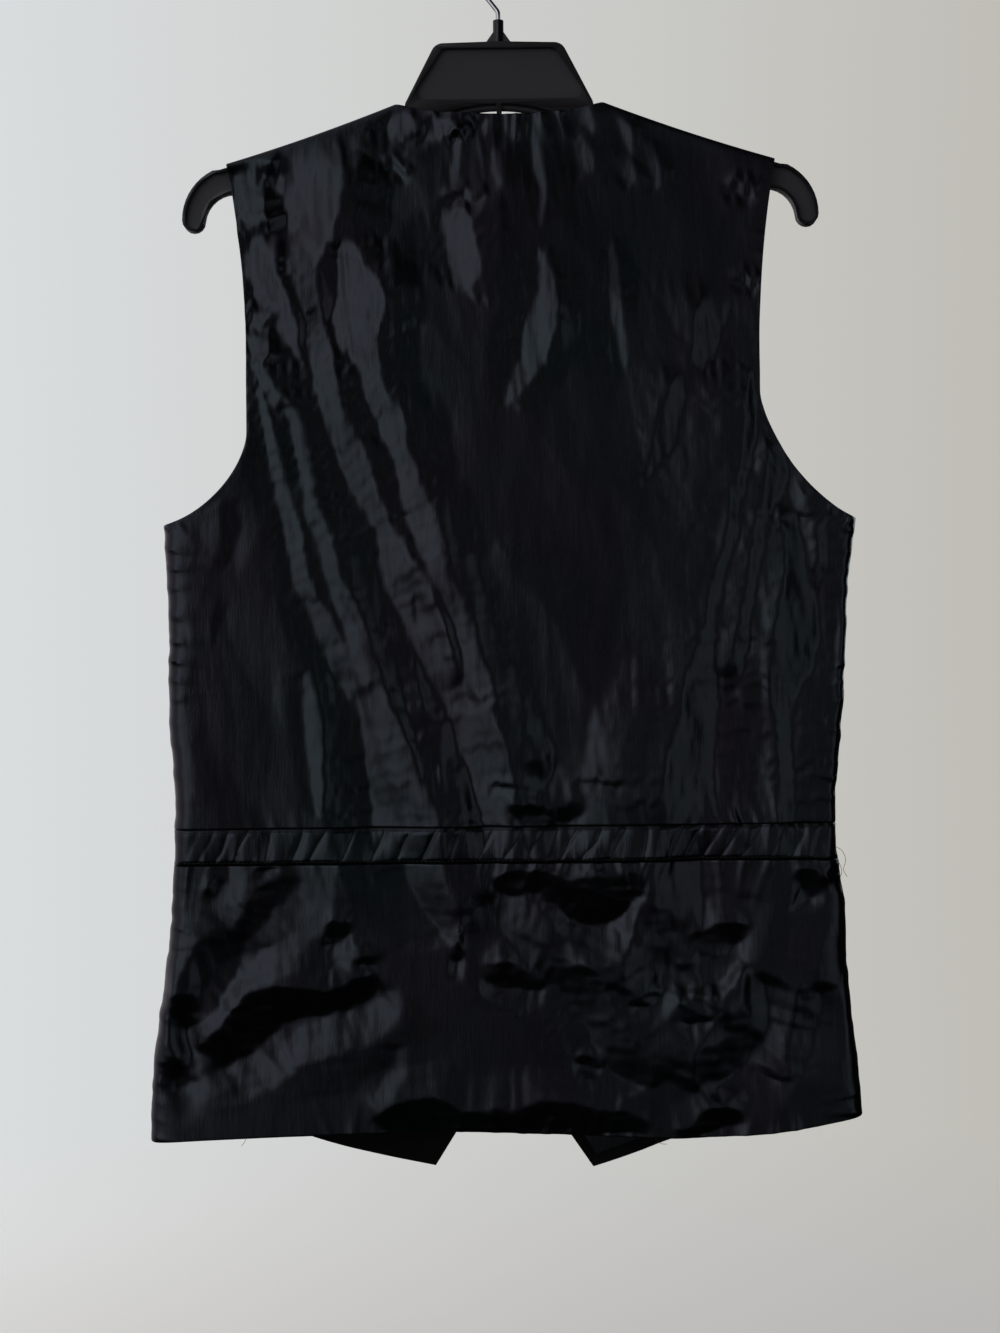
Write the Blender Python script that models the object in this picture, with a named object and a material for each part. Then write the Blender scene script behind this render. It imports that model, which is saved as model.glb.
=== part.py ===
"""A suit waistcoat on a plastic coat hanger, each cut piece a thin closed wall.

+Z is up. The garment's back faces -Y and its fronts face +Y. The origin is the inside of the hook's crown,
where the rail lies. Tables and sizes are in millimetres, and each mesh is scaled to metres as it is made.
"""

import math
from collections import namedtuple

import bpy
import numpy as np

MM = 0.001

# Cloth
BACK_WALL = 1.2
FRONT_WALL = 1.5
LINING_WALL = 1.0
SEAM_GAP = 0.3

# Heights of the lines across the garment
UNDERARM = -406.0
CASING_TOP = -611.5
CASING_BOTTOM = -635.5
FRONT_V_BOTTOM = -402.0
CUTAWAY_TOP = -752.0

# The shoulder line: its height falls from the neck point, less steeply towards the arm
NECK_POINT_X = 71.0
NECK_POINT_Z = -122.2
SHOULDER_POINT_X = 186.0
SHOULDER_FALL = 0.39
SHOULDER_EASE = 0.00044

# Depth from the seams' plane to the outer face of the cloth
SHOULDER_DEPTH = 9.2
CHEST_DEPTH = 18.5
HEM_DEPTH = 16.0
DEPTH_GROWS_OVER = 190.0
HEM_THINS_FROM = -510.0
HEM_THINS_OVER = 300.0
CREST_HEIGHT = 8.0
CREST_POWER = 4.0
SIDE_POWER = 4.0

Side = namedtuple("Side", "height left right")
SIDE_SEAMS = (
    Side(-120, 284, 284),
    Side(-250, 258, 260),
    Side(-406, 231, 239),
    Side(-431, 229, 235),
    Side(-485, 228, 231),
    Side(-540, 228, 228),
    Side(-594, 225, 223),
    Side(-624, 226, 223),
    Side(-662, 228, 228),
    Side(-716, 234, 230),
    Side(-771, 242, 236),
    Side(-822, 244, 240),
)

# An armhole: straight above, then a rounded hollow down to the underarm point
Armhole = namedtuple("Armhole", "narrowest hollow_width hollow_height power")
ARMHOLE_LEFT = Armhole(172.5, 58.5, 60.0, 1.6)
ARMHOLE_RIGHT = Armhole(173.5, 65.5, 85.0, 1.45)
ARMHOLE_FLARE = 13.0
ARMHOLE_FLARE_FROM = 105.0
ARMHOLE_FLARE_POWER = 2.0
ARMHOLE_SHOWS_OVER = 3.0

Level = namedtuple("Level", "x height")
BACK_NECK = (
    Level(-71, -122),
    Level(-60, -125),
    Level(-45, -128),
    Level(-15, -130),
    Level(20, -130),
    Level(45, -128),
    Level(60, -125.5),
    Level(71, -122),
)
BACK_HEM = (
    Level(-244, -822),
    Level(-150, -818.5),
    Level(-30, -817),
    Level(40, -820),
    Level(130, -822.5),
    Level(185, -819),
    Level(240, -809),
)
FRONT_HEM_LEFT = (
    Level(-244, -818),
    Level(-160, -816),
    Level(-140, -822),
    Level(-118, -827.5),
    Level(-90, -833.5),
    Level(-52, -841),
)
FRONT_HEM_RIGHT = (
    Level(57, -842),
    Level(67, -839.5),
    Level(88, -833.5),
    Level(108, -827),
    Level(133, -822),
    Level(160, -816),
    Level(242, -806),
)

# The front edges, from the V neck down to the points
FRONT_LAP = 12.0
NECK_BOW = 9.0
CUTAWAY_BOW = 6.0
CUTAWAY_POWER = 1.25
LAP_LIFT = 2.4
LAP_LIFT_FROM = -95.0
LAP_LIFT_OVER = 60.0
FRONT_ARMHOLE_SHOWS = 2.5

# Folds: a trough on one side of a line and a ridge on the other. Positive heights make the face left of the
# ridge look to -X. The line runs through three points.
Fold = namedtuple("Fold", "x0 z0 x1 z1 x2 z2 height width")
BACK_UPPER_FOLDS = (
    Fold(-90, -200, -73, -330, -36, -430, 2.6, 13),
    Fold(-45, -400, -14, -490, 14, -590, 2.4, 12),
    Fold(-137, -290, -87, -396, -52, -460, 2.4, 11),
    Fold(-56, -455, -30, -520, 4, -600, 2.0, 10),
    Fold(-163, -295, -118, -430, -54, -600, 2.4, 11),
    Fold(-170, -310, -140, -416, -110, -480, 1.8, 9),
    Fold(-36, -180, -34, -225, -28, -275, 1.6, 12),
    Fold(26, -215, 22, -290, 12, -350, 1.6, 11),
    Fold(160, -240, 137, -300, 96, -400, -1.8, 13),
    Fold(172, -310, 154, -440, 108, -600, -2.2, 12),
    Fold(184, -355, 162, -480, 140, -606, -2.2, 11),
    Fold(196, -420, 182, -540, 175, -606, 1.6, 10),
    Fold(-100, -185, -140, -165, -172, -215, 1.6, 14),
    Fold(-210, -430, -196, -520, -192, -600, 1.5, 12),
)
BACK_LOWER_FOLDS = (
    Fold(-196, -742, -150, -716, -84, -712, -4.2, 17),
    Fold(-8, -648, 36, -697, 98, -790, 4.4, 20),
    Fold(58, -640, 88, -680, 124, -742, -3.6, 22),
    Fold(128, -712, 146, -756, 174, -800, 3.4, 18),
    Fold(-8, -648, 24, -660, 84, -646, -3.0, 12),
    Fold(-100, -660, -130, -730, -120, -800, 3.0, 22),
    Fold(-220, -650, -206, -730, -214, -810, 2.4, 16),
    Fold(-40, -720, -20, -760, -60, -806, 2.4, 20),
)
FRONT_FOLDS = (
    Fold(-150, -240, -110, -420, -100, -600, 1.6, 22),
    Fold(-190, -450, -150, -600, -160, -780, 1.8, 20),
    Fold(-60, -460, -70, -600, -90, -800, 1.2, 18),
    Fold(150, -240, 112, -400, 96, -600, -1.6, 22),
    Fold(190, -440, 160, -600, 150, -780, -1.8, 20),
    Fold(64, -470, 78, -620, 88, -800, -1.2, 18),
)
FOLD_STEPS = 10
FOLD_END_POWER = 0.6
MOST_RELIEF = 5.5
FOLDS_FADE_TO_SIDE = 26.0
FOLDS_FADE_TO_CREST = 24.0
FOLDS_FADE_TO_BAND = 40.0

# The gathered band: where its slanting gathers cross its middle, and the puffs between them
GATHERS = (-212, -203, -191, -178, -162, -142, -127, -107, -87, -70, -53, -35, -15, 4)
GATHERS += (18, 29, 42, 57, 74, 93, 111, 124, 137, 150, 164, 181, 195, 208)
GATHER_SLANT = 10.0
PUFF_HEIGHT = 1.7
PUFF_FULL_WIDTH = 18.0
BAND_BULGE = 1.4
BAND_EDGE_BULGE = 0.25

# The neck edge's small puckers
PUCKER_FROM = -40.0
PUCKER_TO = 44.0
PUCKER_PITCH = 12.0
PUCKER_HEIGHT = 0.8
PUCKER_FADE = 34.0

# Grids. Shares run from one edge of a panel to the other, closer together where the wall turns.
EDGE_SHARES = (0.0, 0.0015, 0.0075, 0.025, 0.06)
BACK_TO_FRONT_WIDTH = 2.0
CORNER_STEPS = 8
CREST_DROPS = (0.0, 0.02, 0.25, 1.3, 3.3, 8.0)
PANEL_DROP = 258.0
ARMHOLE_SHARES = (0.0, 0.02, 0.06, 0.11, 0.17, 0.235, 0.31, 0.39, 0.47, 0.55, 0.63, 0.71, 0.79, 0.86, 0.93)
BACK_COLUMNS = 32
BODY_ROWS = 10
SKIRT_ROWS = 10
BAND_COLUMNS = 112
BAND_ROWS = 3
FRONT_COLUMNS = 9
FRONT_ROWS = 13
FACING_SHARE = 0.05
FACING_ROW = 0.021
LINING_ROWS = 5
LINING_COLUMNS = 7

# Hanger
HANGER_HALF_THICKNESS = 4.5
HANGER_WEB = 1.1
HANGER_RIM = 2.2
HANGER_UNDER_CREST = 2.6
HANGER_CUTTER_REACH = 8.0
TIP_BEND_X = 178.5
TIP_BEND_Z = -199.0
TIP_OUTER_RADIUS = 37.3
TIP_INNER_RADIUS = 22.3
TIP_ROOT_RADIUS = 18.7
TIP_BEND_FROM = 64.0
TIP_ROOT_ANGLE = 82.0
PLATE_TOP_Z = -80.0
PLATE_TOP_HALF = 46.0
PLATE_CORNER = 8.2
CROWN_FALL = 0.9
CROWN_SLOPE = 2.0
PLATE_SIDE_LEAN = 62.0
PLATE_FOOT_HALF = 63.5
PLATE_FOOT_Z = -121.0
ARM_ROOT_X = 64.5
ARM_ROOT_Z = -125.6
ARM_TOP_STATIONS = (78.0, 92.0, 105.0, 130.0, 155.0, 178.0, 190.0)
ARM_UNDERSIDE = (Level(160, -175.5), Level(120, -164.5), Level(90, -157.5))
PANEL_TOP_Z = -84.5
PANEL_BOTTOM_Z = -112.5
PANEL_TOP_HALF = 41.0
PANEL_BOTTOM_HALF = 53.5
PANEL_CORNER = 6.0
BAR_BOTTOM_Z = -152.0
BAR_HALF = 60.0
WINDOW_HALF = 44.0
WINDOW_TOP_Z = -122.0
WINDOW_SPRING_Z = -131.0
WINDOW_BOTTOM_Z = -144.0
WINDOW_RIB_HALF = 1.75
WINDOW_STEPS = 6
SOCKET_RADIUS = 3.6
SOCKET_TOP_Z = -64.8
SOCKET_FOOT_Z = -84.0
SOCKET_BORE_RADIUS = 2.0
SOCKET_BORE_Z = -76.0
GUSSET_HALF = 11.5
GUSSET_TOP_Z = -67.8
GUSSET_HALF_THICKNESS = 1.5
ARM_POCKET_FROM = 84.0
ARM_POCKET_FOOT_RISE = 1.4

# Hook
WIRE_RADIUS = 1.6
HOOK_RADIUS = 23.0
HOOK_CENTRE_Z = -21.4
HOOK_LEAN = 38.0
HOOK_TIP_ANGLE = -25.0
HOOK_BEND_Z = -58.8
HOOK_BEND_RADIUS = 6.0

# Buttons, on the lapped centre edge
BUTTON_HEIGHTS = (-418, -497, -576, -655, -734)
BUTTON_RADIUS = 7.6
BUTTON_THICKNESS = 3.0
BUTTON_SIDES = 14

# The button's profile from its back to its dished middle, as shares of its radius and thickness
Ring = namedtuple("Ring", "radius out")
BUTTON_PROFILE = (
    Ring(0.55, 0.0),
    Ring(0.95, 0.35),
    Ring(1.0, 0.6),
    Ring(0.9, 1.0),
    Ring(0.79, 0.95),
    Ring(0.66, 0.74),
)

Finish = namedtuple("Finish", "colour roughness metallic")
TAFFETA = Finish((0.012, 0.012, 0.016), 0.36, 0.0)
SUITING = Finish((0.008, 0.008, 0.009), 0.85, 0.0)
HANGER_PLASTIC = Finish((0.012, 0.012, 0.013), 0.32, 0.0)
BUTTON_PLASTIC = Finish((0.01, 0.01, 0.011), 0.25, 0.0)
CHROME = Finish((0.75, 0.75, 0.76), 0.12, 1.0)


def clear_scene():
    for thing in list(bpy.data.objects):
        bpy.data.objects.remove(thing, do_unlink=True)


def material(name, finish):
    made = bpy.data.materials.new(name)
    made.use_nodes = True
    shader = made.node_tree.nodes["Principled BSDF"]
    shader.inputs["Base Color"].default_value = (*finish.colour, 1.0)
    shader.inputs["Roughness"].default_value = finish.roughness
    shader.inputs["Metallic"].default_value = finish.metallic
    made.diffuse_color = (*finish.colour, 1.0)
    return made


def add_mesh(name, points, faces, finish, smooth=True):
    """A mesh object from points in millimetres."""
    mesh = bpy.data.meshes.new(name)
    mesh.from_pydata([tuple(point) for point in np.asarray(points, float) * MM], [], faces)
    mesh.validate()
    thing = bpy.data.objects.new(name, mesh)
    bpy.context.scene.collection.objects.link(thing)
    if finish is not None:
        mesh.materials.append(finish)
    if smooth:
        mesh.shade_smooth()
        mesh.set_sharp_from_angle(angle=math.radians(40))
    return thing


def ease(share):
    """0 to 1 with level ends."""
    share = np.clip(share, 0.0, 1.0)
    return share * share * (3.0 - 2.0 * share)


def through(knots, values, at):
    """A smooth curve through a short table, read at any places."""
    knots = np.asarray(knots, float)
    values = np.asarray(values, float)
    order = np.argsort(knots)
    knots = knots[order]
    values = values[order]
    slopes = np.gradient(values, knots)
    at = np.clip(at, knots[0], knots[-1])
    left = np.clip(np.searchsorted(knots, at) - 1, 0, len(knots) - 2)
    span = knots[left + 1] - knots[left]
    share = (at - knots[left]) / span
    rise = share * share * (3.0 - 2.0 * share)
    leave = share * (1.0 - share) ** 2 * span * slopes[left]
    arrive = -share * share * (1.0 - share) * span * slopes[left + 1]
    return values[left] * (1.0 - rise) + values[left + 1] * rise + leave + arrive


def shoulder_line(x):
    """Height of the shoulder crest, carried on over the neck."""
    out = np.abs(x) - NECK_POINT_X
    return NECK_POINT_Z - SHOULDER_FALL * out + SHOULDER_EASE * out * out


def half_width(x, z):
    """Distance from the middle to the side seam on the side of x, carried on upwards past the armhole."""
    heights = [row.height for row in SIDE_SEAMS]
    left = through(heights, [row.left for row in SIDE_SEAMS], z)
    right = through(heights, [row.right for row in SIDE_SEAMS], z)
    return np.where(np.asarray(x) < 0.0, left, right)


def side_seam(sign):
    """x of the side seam as a function of height."""
    return lambda z: sign * half_width(sign, z)


def armhole_edge(sign, outset=0.0):
    """x of the armhole's edge as a function of height."""
    hole = ARMHOLE_LEFT if sign < 0 else ARMHOLE_RIGHT

    def edge(z):
        up = np.asarray(z, float) - UNDERARM
        down_share = np.clip(1.0 - up / hole.hollow_height, 0.0, 1.0)
        across_share = (1.0 - down_share**hole.power) ** (1.0 / hole.power)
        flare_length = shoulder_line(SHOULDER_POINT_X) - UNDERARM - ARMHOLE_FLARE_FROM
        flare_share = np.clip((up - ARMHOLE_FLARE_FROM) / flare_length, 0.0, 1.0)
        reach = hole.narrowest + hole.hollow_width * (1.0 - across_share)
        reach = reach + ARMHOLE_FLARE * flare_share**ARMHOLE_FLARE_POWER
        shown = outset * across_share * ease(1.0 - up / (ARMHOLE_SHOWS_OVER * hole.hollow_height))
        return sign * (reach + shown)

    return edge


def level_line(levels):
    return lambda x: through([row.x for row in levels], [row.height for row in levels], x)


def body_depth(drop, z):
    """Depth of the outer face at the panel's middle, by its drop below the shoulder line and its height."""
    grown = SHOULDER_DEPTH + (CHEST_DEPTH - SHOULDER_DEPTH) * ease(drop / DEPTH_GROWS_OVER)
    return grown - (CHEST_DEPTH - HEM_DEPTH) * ease((HEM_THINS_FROM - z) / HEM_THINS_OVER)


def fold_line(fold):
    share = np.linspace(0.0, 1.0, FOLD_STEPS + 1)
    bend_x = 2.0 * fold.x1 - (fold.x0 + fold.x2) / 2.0
    bend_z = 2.0 * fold.z1 - (fold.z0 + fold.z2) / 2.0
    x = (1 - share) ** 2 * fold.x0 + 2 * share * (1 - share) * bend_x + share**2 * fold.x2
    z = (1 - share) ** 2 * fold.z0 + 2 * share * (1 - share) * bend_z + share**2 * fold.z2
    return x, z


def fold_height(fold, x, z):
    """Height of one fold: a trough and a ridge side by side along its line, fading at the ends."""
    line_x, line_z = fold_line(fold)
    nearest = np.full(np.shape(x), 1e9)
    across = np.zeros(np.shape(x))
    along = np.zeros(np.shape(x))
    for step in range(FOLD_STEPS):
        run_x = line_x[step + 1] - line_x[step]
        run_z = line_z[step + 1] - line_z[step]
        length = math.hypot(run_x, run_z)
        off_x = x - line_x[step]
        off_z = z - line_z[step]
        part = np.clip((off_x * run_x + off_z * run_z) / length**2, 0.0, 1.0)
        distance = np.hypot(off_x - part * run_x, off_z - part * run_z)
        signed = np.where(run_x * off_z - run_z * off_x > 0.0, distance, -distance)
        closer = distance < nearest
        nearest = np.where(closer, distance, nearest)
        across = np.where(closer, signed, across)
        along = np.where(closer, (step + part) / FOLD_STEPS, along)
    reach = across / fold.width
    profile = reach * np.exp(0.5 * (1.0 - reach * reach))
    fade = np.sin(math.pi * np.clip(along, 0.0, 1.0)) ** FOLD_END_POWER
    return fold.height * profile * fade


def folds_height(folds, x, z):
    """All the folds together, eased so that where several cross they stay shallow."""
    total = sum(fold_height(fold, x, z) for fold in folds)
    return MOST_RELIEF * np.tanh(total / MOST_RELIEF)


def neck_puckers(x, z):
    drop = level_line(BACK_NECK)(x) - z
    within = ease((x - PUCKER_FROM) / PUCKER_PITCH) * ease((PUCKER_TO - x) / PUCKER_PITCH)
    wave = np.cos(2.0 * math.pi * (x - PUCKER_FROM) / PUCKER_PITCH)
    return PUCKER_HEIGHT * wave * within * (1.0 - ease(drop / PUCKER_FADE))


def away_from_edges(x, z):
    """Folds die out at the side seams and over the shoulder."""
    to_side = half_width(x, z) - np.abs(x)
    to_crest = shoulder_line(x) - z
    return ease(to_side / FOLDS_FADE_TO_SIDE) * ease(to_crest / FOLDS_FADE_TO_CREST)


def wall_points(x, z, side, inset, relief):
    """Points at a given inset from the body's outer face: side is -1 for the back and +1 for the fronts."""
    half = half_width(x, z)
    share = np.clip(np.abs(x) / half, 0.0, 1.0)
    drop = np.clip(shoulder_line(x) - z, 0.0, None)
    crest_share = np.clip(1.0 - drop / CREST_HEIGHT, 0.0, 1.0)
    crest = (1.0 - crest_share**CREST_POWER) ** (1.0 / CREST_POWER)
    section = np.sqrt(1.0 - share**SIDE_POWER)
    depth = (body_depth(drop, z) - inset) * section * crest + relief * away_from_edges(x, z)
    inner_x = x - np.sign(x) * inset * share
    inner_z = z - inset * crest_share
    return np.stack([inner_x, side * np.maximum(depth, SEAM_GAP / 2.0), inner_z], axis=-1)


def edge_spread(count):
    """Shares across a panel, close together near both side seams."""
    start = EDGE_SHARES[-1]
    middle = np.linspace(start, 1.0 - start, count + 1)
    return np.concatenate([EDGE_SHARES[:-1], middle, 1.0 - np.array(EDGE_SHARES[-2::-1])])


def front_spread(count):
    """Shares across a front from its side seam, close together there, with one more at the facing."""
    side = np.array(EDGE_SHARES) * BACK_TO_FRONT_WIDTH
    middle = np.linspace(side[-1], 1.0 - FACING_SHARE, count + 1)
    return np.concatenate([side[:-1], middle, [1.0]])


def crest_rows():
    """Row shares that climb the armhole and then turn over the shoulder crest."""
    drops = np.array(CREST_DROPS[::-1])
    return np.concatenate([ARMHOLE_SHARES, 1.0 - drops / PANEL_DROP])


def panel(first_edge, last_edge, bottom, top, shares, rows):
    """x and z over a panel. The two edges give x at a height, and bottom and top give height at an x."""
    shares = np.asarray(shares)[None, :]
    rows = np.asarray(rows)[:, None]
    corners = []
    for level in (bottom, top):
        for edge in (first_edge, last_edge):
            height = level(edge(UNDERARM))
            for _ in range(CORNER_STEPS):
                height = level(edge(height))
            corners.append(float(height))
    first_z = corners[0] + (corners[2] - corners[0]) * rows
    last_z = corners[1] + (corners[3] - corners[1]) * rows
    x = first_edge(first_z) * (1.0 - shares) + last_edge(last_z) * shares
    bottom_z = bottom(x[:1])
    top_z = top(x[-1:])
    bottom_z[0, 0], bottom_z[0, -1] = corners[0], corners[1]
    top_z[0, 0], top_z[0, -1] = corners[2], corners[3]
    return x, bottom_z + (top_z - bottom_z) * rows


def stacked(*panels):
    """Panels joined one above another, the shared rows given once."""
    x = np.concatenate([panels[0][0]] + [part[0][1:] for part in panels[1:]])
    z = np.concatenate([panels[0][1]] + [part[1][1:] for part in panels[1:]])
    return x, z


def flat(height):
    return lambda x: np.full(np.shape(x), float(height))


def add_wall(name, outer, inner, side, finish):
    """A closed wall between two grids of points with the same rows and columns."""
    rows, columns = outer.shape[:2]
    points = np.concatenate([outer.reshape(-1, 3), inner.reshape(-1, 3)])
    behind = rows * columns
    faces = []
    for row in range(rows - 1):
        for column in range(columns - 1):
            corner = row * columns + column
            above = corner + columns
            faces.append([corner, corner + 1, above + 1, above])
            faces.append([behind + corner, behind + above, behind + above + 1, behind + corner + 1])
    rim = list(range(columns))
    rim += [row * columns + columns - 1 for row in range(1, rows)]
    rim += [(rows - 1) * columns + column for column in range(columns - 2, -1, -1)]
    rim += [row * columns for row in range(rows - 2, 0, -1)]
    for near, far in zip(rim, rim[1:] + rim[:1]):
        faces.append([near, behind + near, behind + far, far])
    if side > 0:
        faces = [[face[0]] + face[:0:-1] for face in faces]
    wall = add_mesh(name, points, faces, finish)
    halve = wall.modifiers.new("Triangulate", "TRIANGULATE")
    halve.quad_method = "FIXED"
    return wall


def add_panel(name, x, z, side, wall, relief, finish):
    """A wall of the given thickness whose outer face is the body's surface with its folds."""
    outer = wall_points(x, z, side, 0.0, relief)
    inner = wall_points(x, z, side, wall, relief)
    return add_wall(name, outer, inner, side, finish)


def add_back_upper(finish):
    shares = edge_spread(BACK_COLUMNS)
    body = panel(
        side_seam(-1),
        side_seam(1),
        flat(CASING_TOP + SEAM_GAP),
        flat(UNDERARM),
        shares,
        np.linspace(0.0, 1.0, BODY_ROWS + 1),
    )

    def top(x):
        over_neck = np.abs(x) < NECK_POINT_X
        return np.where(over_neck, level_line(BACK_NECK)(x), shoulder_line(x))

    yoke = panel(armhole_edge(-1), armhole_edge(1), flat(UNDERARM), top, shares, crest_rows())
    x, z = stacked(body, yoke)
    above_band = ease((z - CASING_TOP) / FOLDS_FADE_TO_BAND)
    relief = folds_height(BACK_UPPER_FOLDS, x, z) * above_band + neck_puckers(x, z)
    return add_panel("back_upper", x, z, -1, BACK_WALL, relief, finish)


def puff_height(x, share):
    """Height of the puffs between the gathers, which lean to +X towards the top of the band."""
    slanted = x + GATHER_SLANT * (0.5 - share)
    lines = np.array(GATHERS, float)
    after = np.clip(np.searchsorted(lines, slanted), 1, len(lines) - 1)
    width = lines[after] - lines[after - 1]
    part = np.clip((slanted - lines[after - 1]) / width, 0.0, 1.0)
    return PUFF_HEIGHT * np.minimum(width / PUFF_FULL_WIDTH, 1.0) * np.sin(math.pi * part)


def add_waist_casing(finish):
    rows = np.linspace(0.0, 1.0, BAND_ROWS + 1)
    x, z = panel(
        side_seam(-1),
        side_seam(1),
        flat(CASING_BOTTOM),
        flat(CASING_TOP),
        edge_spread(BAND_COLUMNS),
        rows,
    )
    bulge = np.sin(math.pi * rows)[:, None]
    swell = BAND_EDGE_BULGE + (1.0 - BAND_EDGE_BULGE) * bulge
    relief = (BAND_BULGE + puff_height(x, rows[:, None])) * swell
    outer = wall_points(x, z, -1, 0.0, relief)
    inner = wall_points(x, z, -1, BACK_WALL, np.zeros_like(x))
    return add_wall("waist_casing", outer, inner, -1, finish)


def add_back_lower(finish):
    x, z = panel(
        side_seam(-1),
        side_seam(1),
        level_line(BACK_HEM),
        flat(CASING_BOTTOM - SEAM_GAP),
        edge_spread(BACK_COLUMNS),
        np.linspace(0.0, 1.0, SKIRT_ROWS + 1),
    )
    below_band = ease((CASING_BOTTOM - z) / FOLDS_FADE_TO_BAND)
    relief = folds_height(BACK_LOWER_FOLDS, x, z) * below_band
    return add_panel("back_lower", x, z, -1, BACK_WALL, relief, finish)


def front_edge(sign):
    """x of a front's free edge: V neck, straight lapped edge, then the cutaway to the point."""
    point = FRONT_HEM_LEFT[-1] if sign < 0 else FRONT_HEM_RIGHT[0]

    def edge(z):
        z = np.asarray(z, float)
        neck_share = np.clip((z - FRONT_V_BOTTOM) / (NECK_POINT_Z - FRONT_V_BOTTOM), 0.0, 1.0)
        cut_share = np.clip((CUTAWAY_TOP - z) / (CUTAWAY_TOP - point.height), 0.0, 1.0)
        neck = (NECK_POINT_X + FRONT_LAP) * neck_share + NECK_BOW * np.sin(math.pi * neck_share)
        cut = (abs(point.x) + FRONT_LAP) * cut_share**CUTAWAY_POWER
        cut = cut + CUTAWAY_BOW * np.sin(math.pi * cut_share)
        return sign * (-FRONT_LAP + neck + cut)

    return edge


def lap_lift(x, sign):
    """The left front passes outside the right one where they lap."""
    if sign > 0:
        return np.zeros_like(x)
    return LAP_LIFT * ease((x - LAP_LIFT_FROM) / LAP_LIFT_OVER)


def front_top(x):
    return np.where(np.abs(x) < NECK_POINT_X, NECK_POINT_Z, shoulder_line(x))


def front_grid(sign):
    """x, z and relief of a front. Columns run towards +X, so the left front's start at the side seam."""
    hem = level_line(FRONT_HEM_LEFT if sign < 0 else FRONT_HEM_RIGHT)
    outset = FRONT_ARMHOLE_SHOWS if sign < 0 else -FRONT_ARMHOLE_SHOWS
    spread = front_spread(FRONT_COLUMNS)
    shares = spread if sign < 0 else 1.0 - spread[::-1]
    skirt_rows = np.concatenate([[0.0], np.linspace(FACING_ROW, 1.0, FRONT_ROWS)])
    lower_edges = (side_seam(sign), front_edge(sign))
    upper_edges = (armhole_edge(sign, outset), front_edge(sign))
    skirt = panel(*lower_edges[::-sign], hem, flat(UNDERARM), shares, skirt_rows)
    chest = panel(*upper_edges[::-sign], flat(UNDERARM), front_top, shares, crest_rows())
    x, z = stacked(skirt, chest)
    relief = folds_height(FRONT_FOLDS, x, z) + lap_lift(x, sign)
    return x, z, relief


def add_front(name, sign, finish):
    x, z, relief = front_grid(sign)
    return add_panel(name, x, z, 1, FRONT_WALL, relief, finish)


def add_lining(name, finish):
    """The lining inside the right front's point, on the front's own rows and columns inside the facing."""
    x, z, relief = (grid[1 : LINING_ROWS + 2, 1 : LINING_COLUMNS + 2] for grid in front_grid(1))
    start = FRONT_WALL + SEAM_GAP
    outer = wall_points(x, z, 1, start, relief)
    inner = wall_points(x, z, 1, start + LINING_WALL, relief)
    return add_wall(name, outer, inner, 1, finish)


def front_face(x, z):
    """y of the left front's outer face."""
    x = np.asarray(x, float)
    z = np.asarray(z, float)
    relief = folds_height(FRONT_FOLDS, x, z) + lap_lift(x, -1)
    return wall_points(x, z, 1, 0.0, relief)[..., 1]


def add_button(name, height, finish):
    """A round button with a raised rim and a dished middle, its back just clear of the front."""
    around = np.linspace(0.0, 2.0 * math.pi, BUTTON_SIDES, endpoint=False)
    seat = front_face(BUTTON_RADIUS * np.cos(around), height + BUTTON_RADIUS * np.sin(around)).max()
    back_y = seat + SEAM_GAP
    points = []
    for row in BUTTON_PROFILE:
        radius = row.radius * BUTTON_RADIUS
        out = back_y + row.out * BUTTON_THICKNESS
        for angle in around:
            points.append((radius * math.cos(angle), out, height + radius * math.sin(angle)))
    faces = [list(range(BUTTON_SIDES))]
    for ring in range(len(BUTTON_PROFILE) - 1):
        for step in range(BUTTON_SIDES):
            here = ring * BUTTON_SIDES + step
            beside = ring * BUTTON_SIDES + (step + 1) % BUTTON_SIDES
            faces.append([here, here + BUTTON_SIDES, beside + BUTTON_SIDES, beside])
    last = (len(BUTTON_PROFILE) - 1) * BUTTON_SIDES
    faces.append([last + step for step in range(BUTTON_SIDES - 1, -1, -1)])
    return add_mesh(name, points, faces, finish)


def arc(centre_x, centre_z, start, end, radius, end_radius=None, steps=8):
    """Points along a round stretch, in degrees, whose radius may change evenly."""
    end_radius = radius if end_radius is None else end_radius
    points = []
    for share in np.linspace(0.0, 1.0, steps + 1):
        angle = math.radians(start + (end - start) * share)
        reach = radius + (end_radius - radius) * share
        points.append((centre_x + reach * math.cos(angle), centre_z + reach * math.sin(angle)))
    return points


def arm_top(x, inset=0.0):
    return float(shoulder_line(x)) - HANGER_UNDER_CREST - inset


def arm_end(inset):
    """The bent, rounded end of the right arm, from its top edge round to its underside."""
    cap_radius = (TIP_OUTER_RADIUS - TIP_INNER_RADIUS) / 2.0
    cap_x = TIP_BEND_X + TIP_OUTER_RADIUS - cap_radius
    outer = arc(TIP_BEND_X, TIP_BEND_Z, TIP_BEND_FROM, 0.0, TIP_OUTER_RADIUS - inset, steps=9)
    cap = arc(cap_x, TIP_BEND_Z, 0.0, -180.0, cap_radius - inset, steps=8)
    inner = arc(
        TIP_BEND_X,
        TIP_BEND_Z,
        0.0,
        TIP_ROOT_ANGLE,
        TIP_INNER_RADIUS + inset,
        TIP_ROOT_RADIUS + inset,
        steps=7,
    )
    return outer + cap[1:] + inner[1:]


def underside(inset):
    """The arm's lower edge, from the bend back towards the middle."""
    return [(point.x, point.height + inset) for point in ARM_UNDERSIDE]


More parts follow.
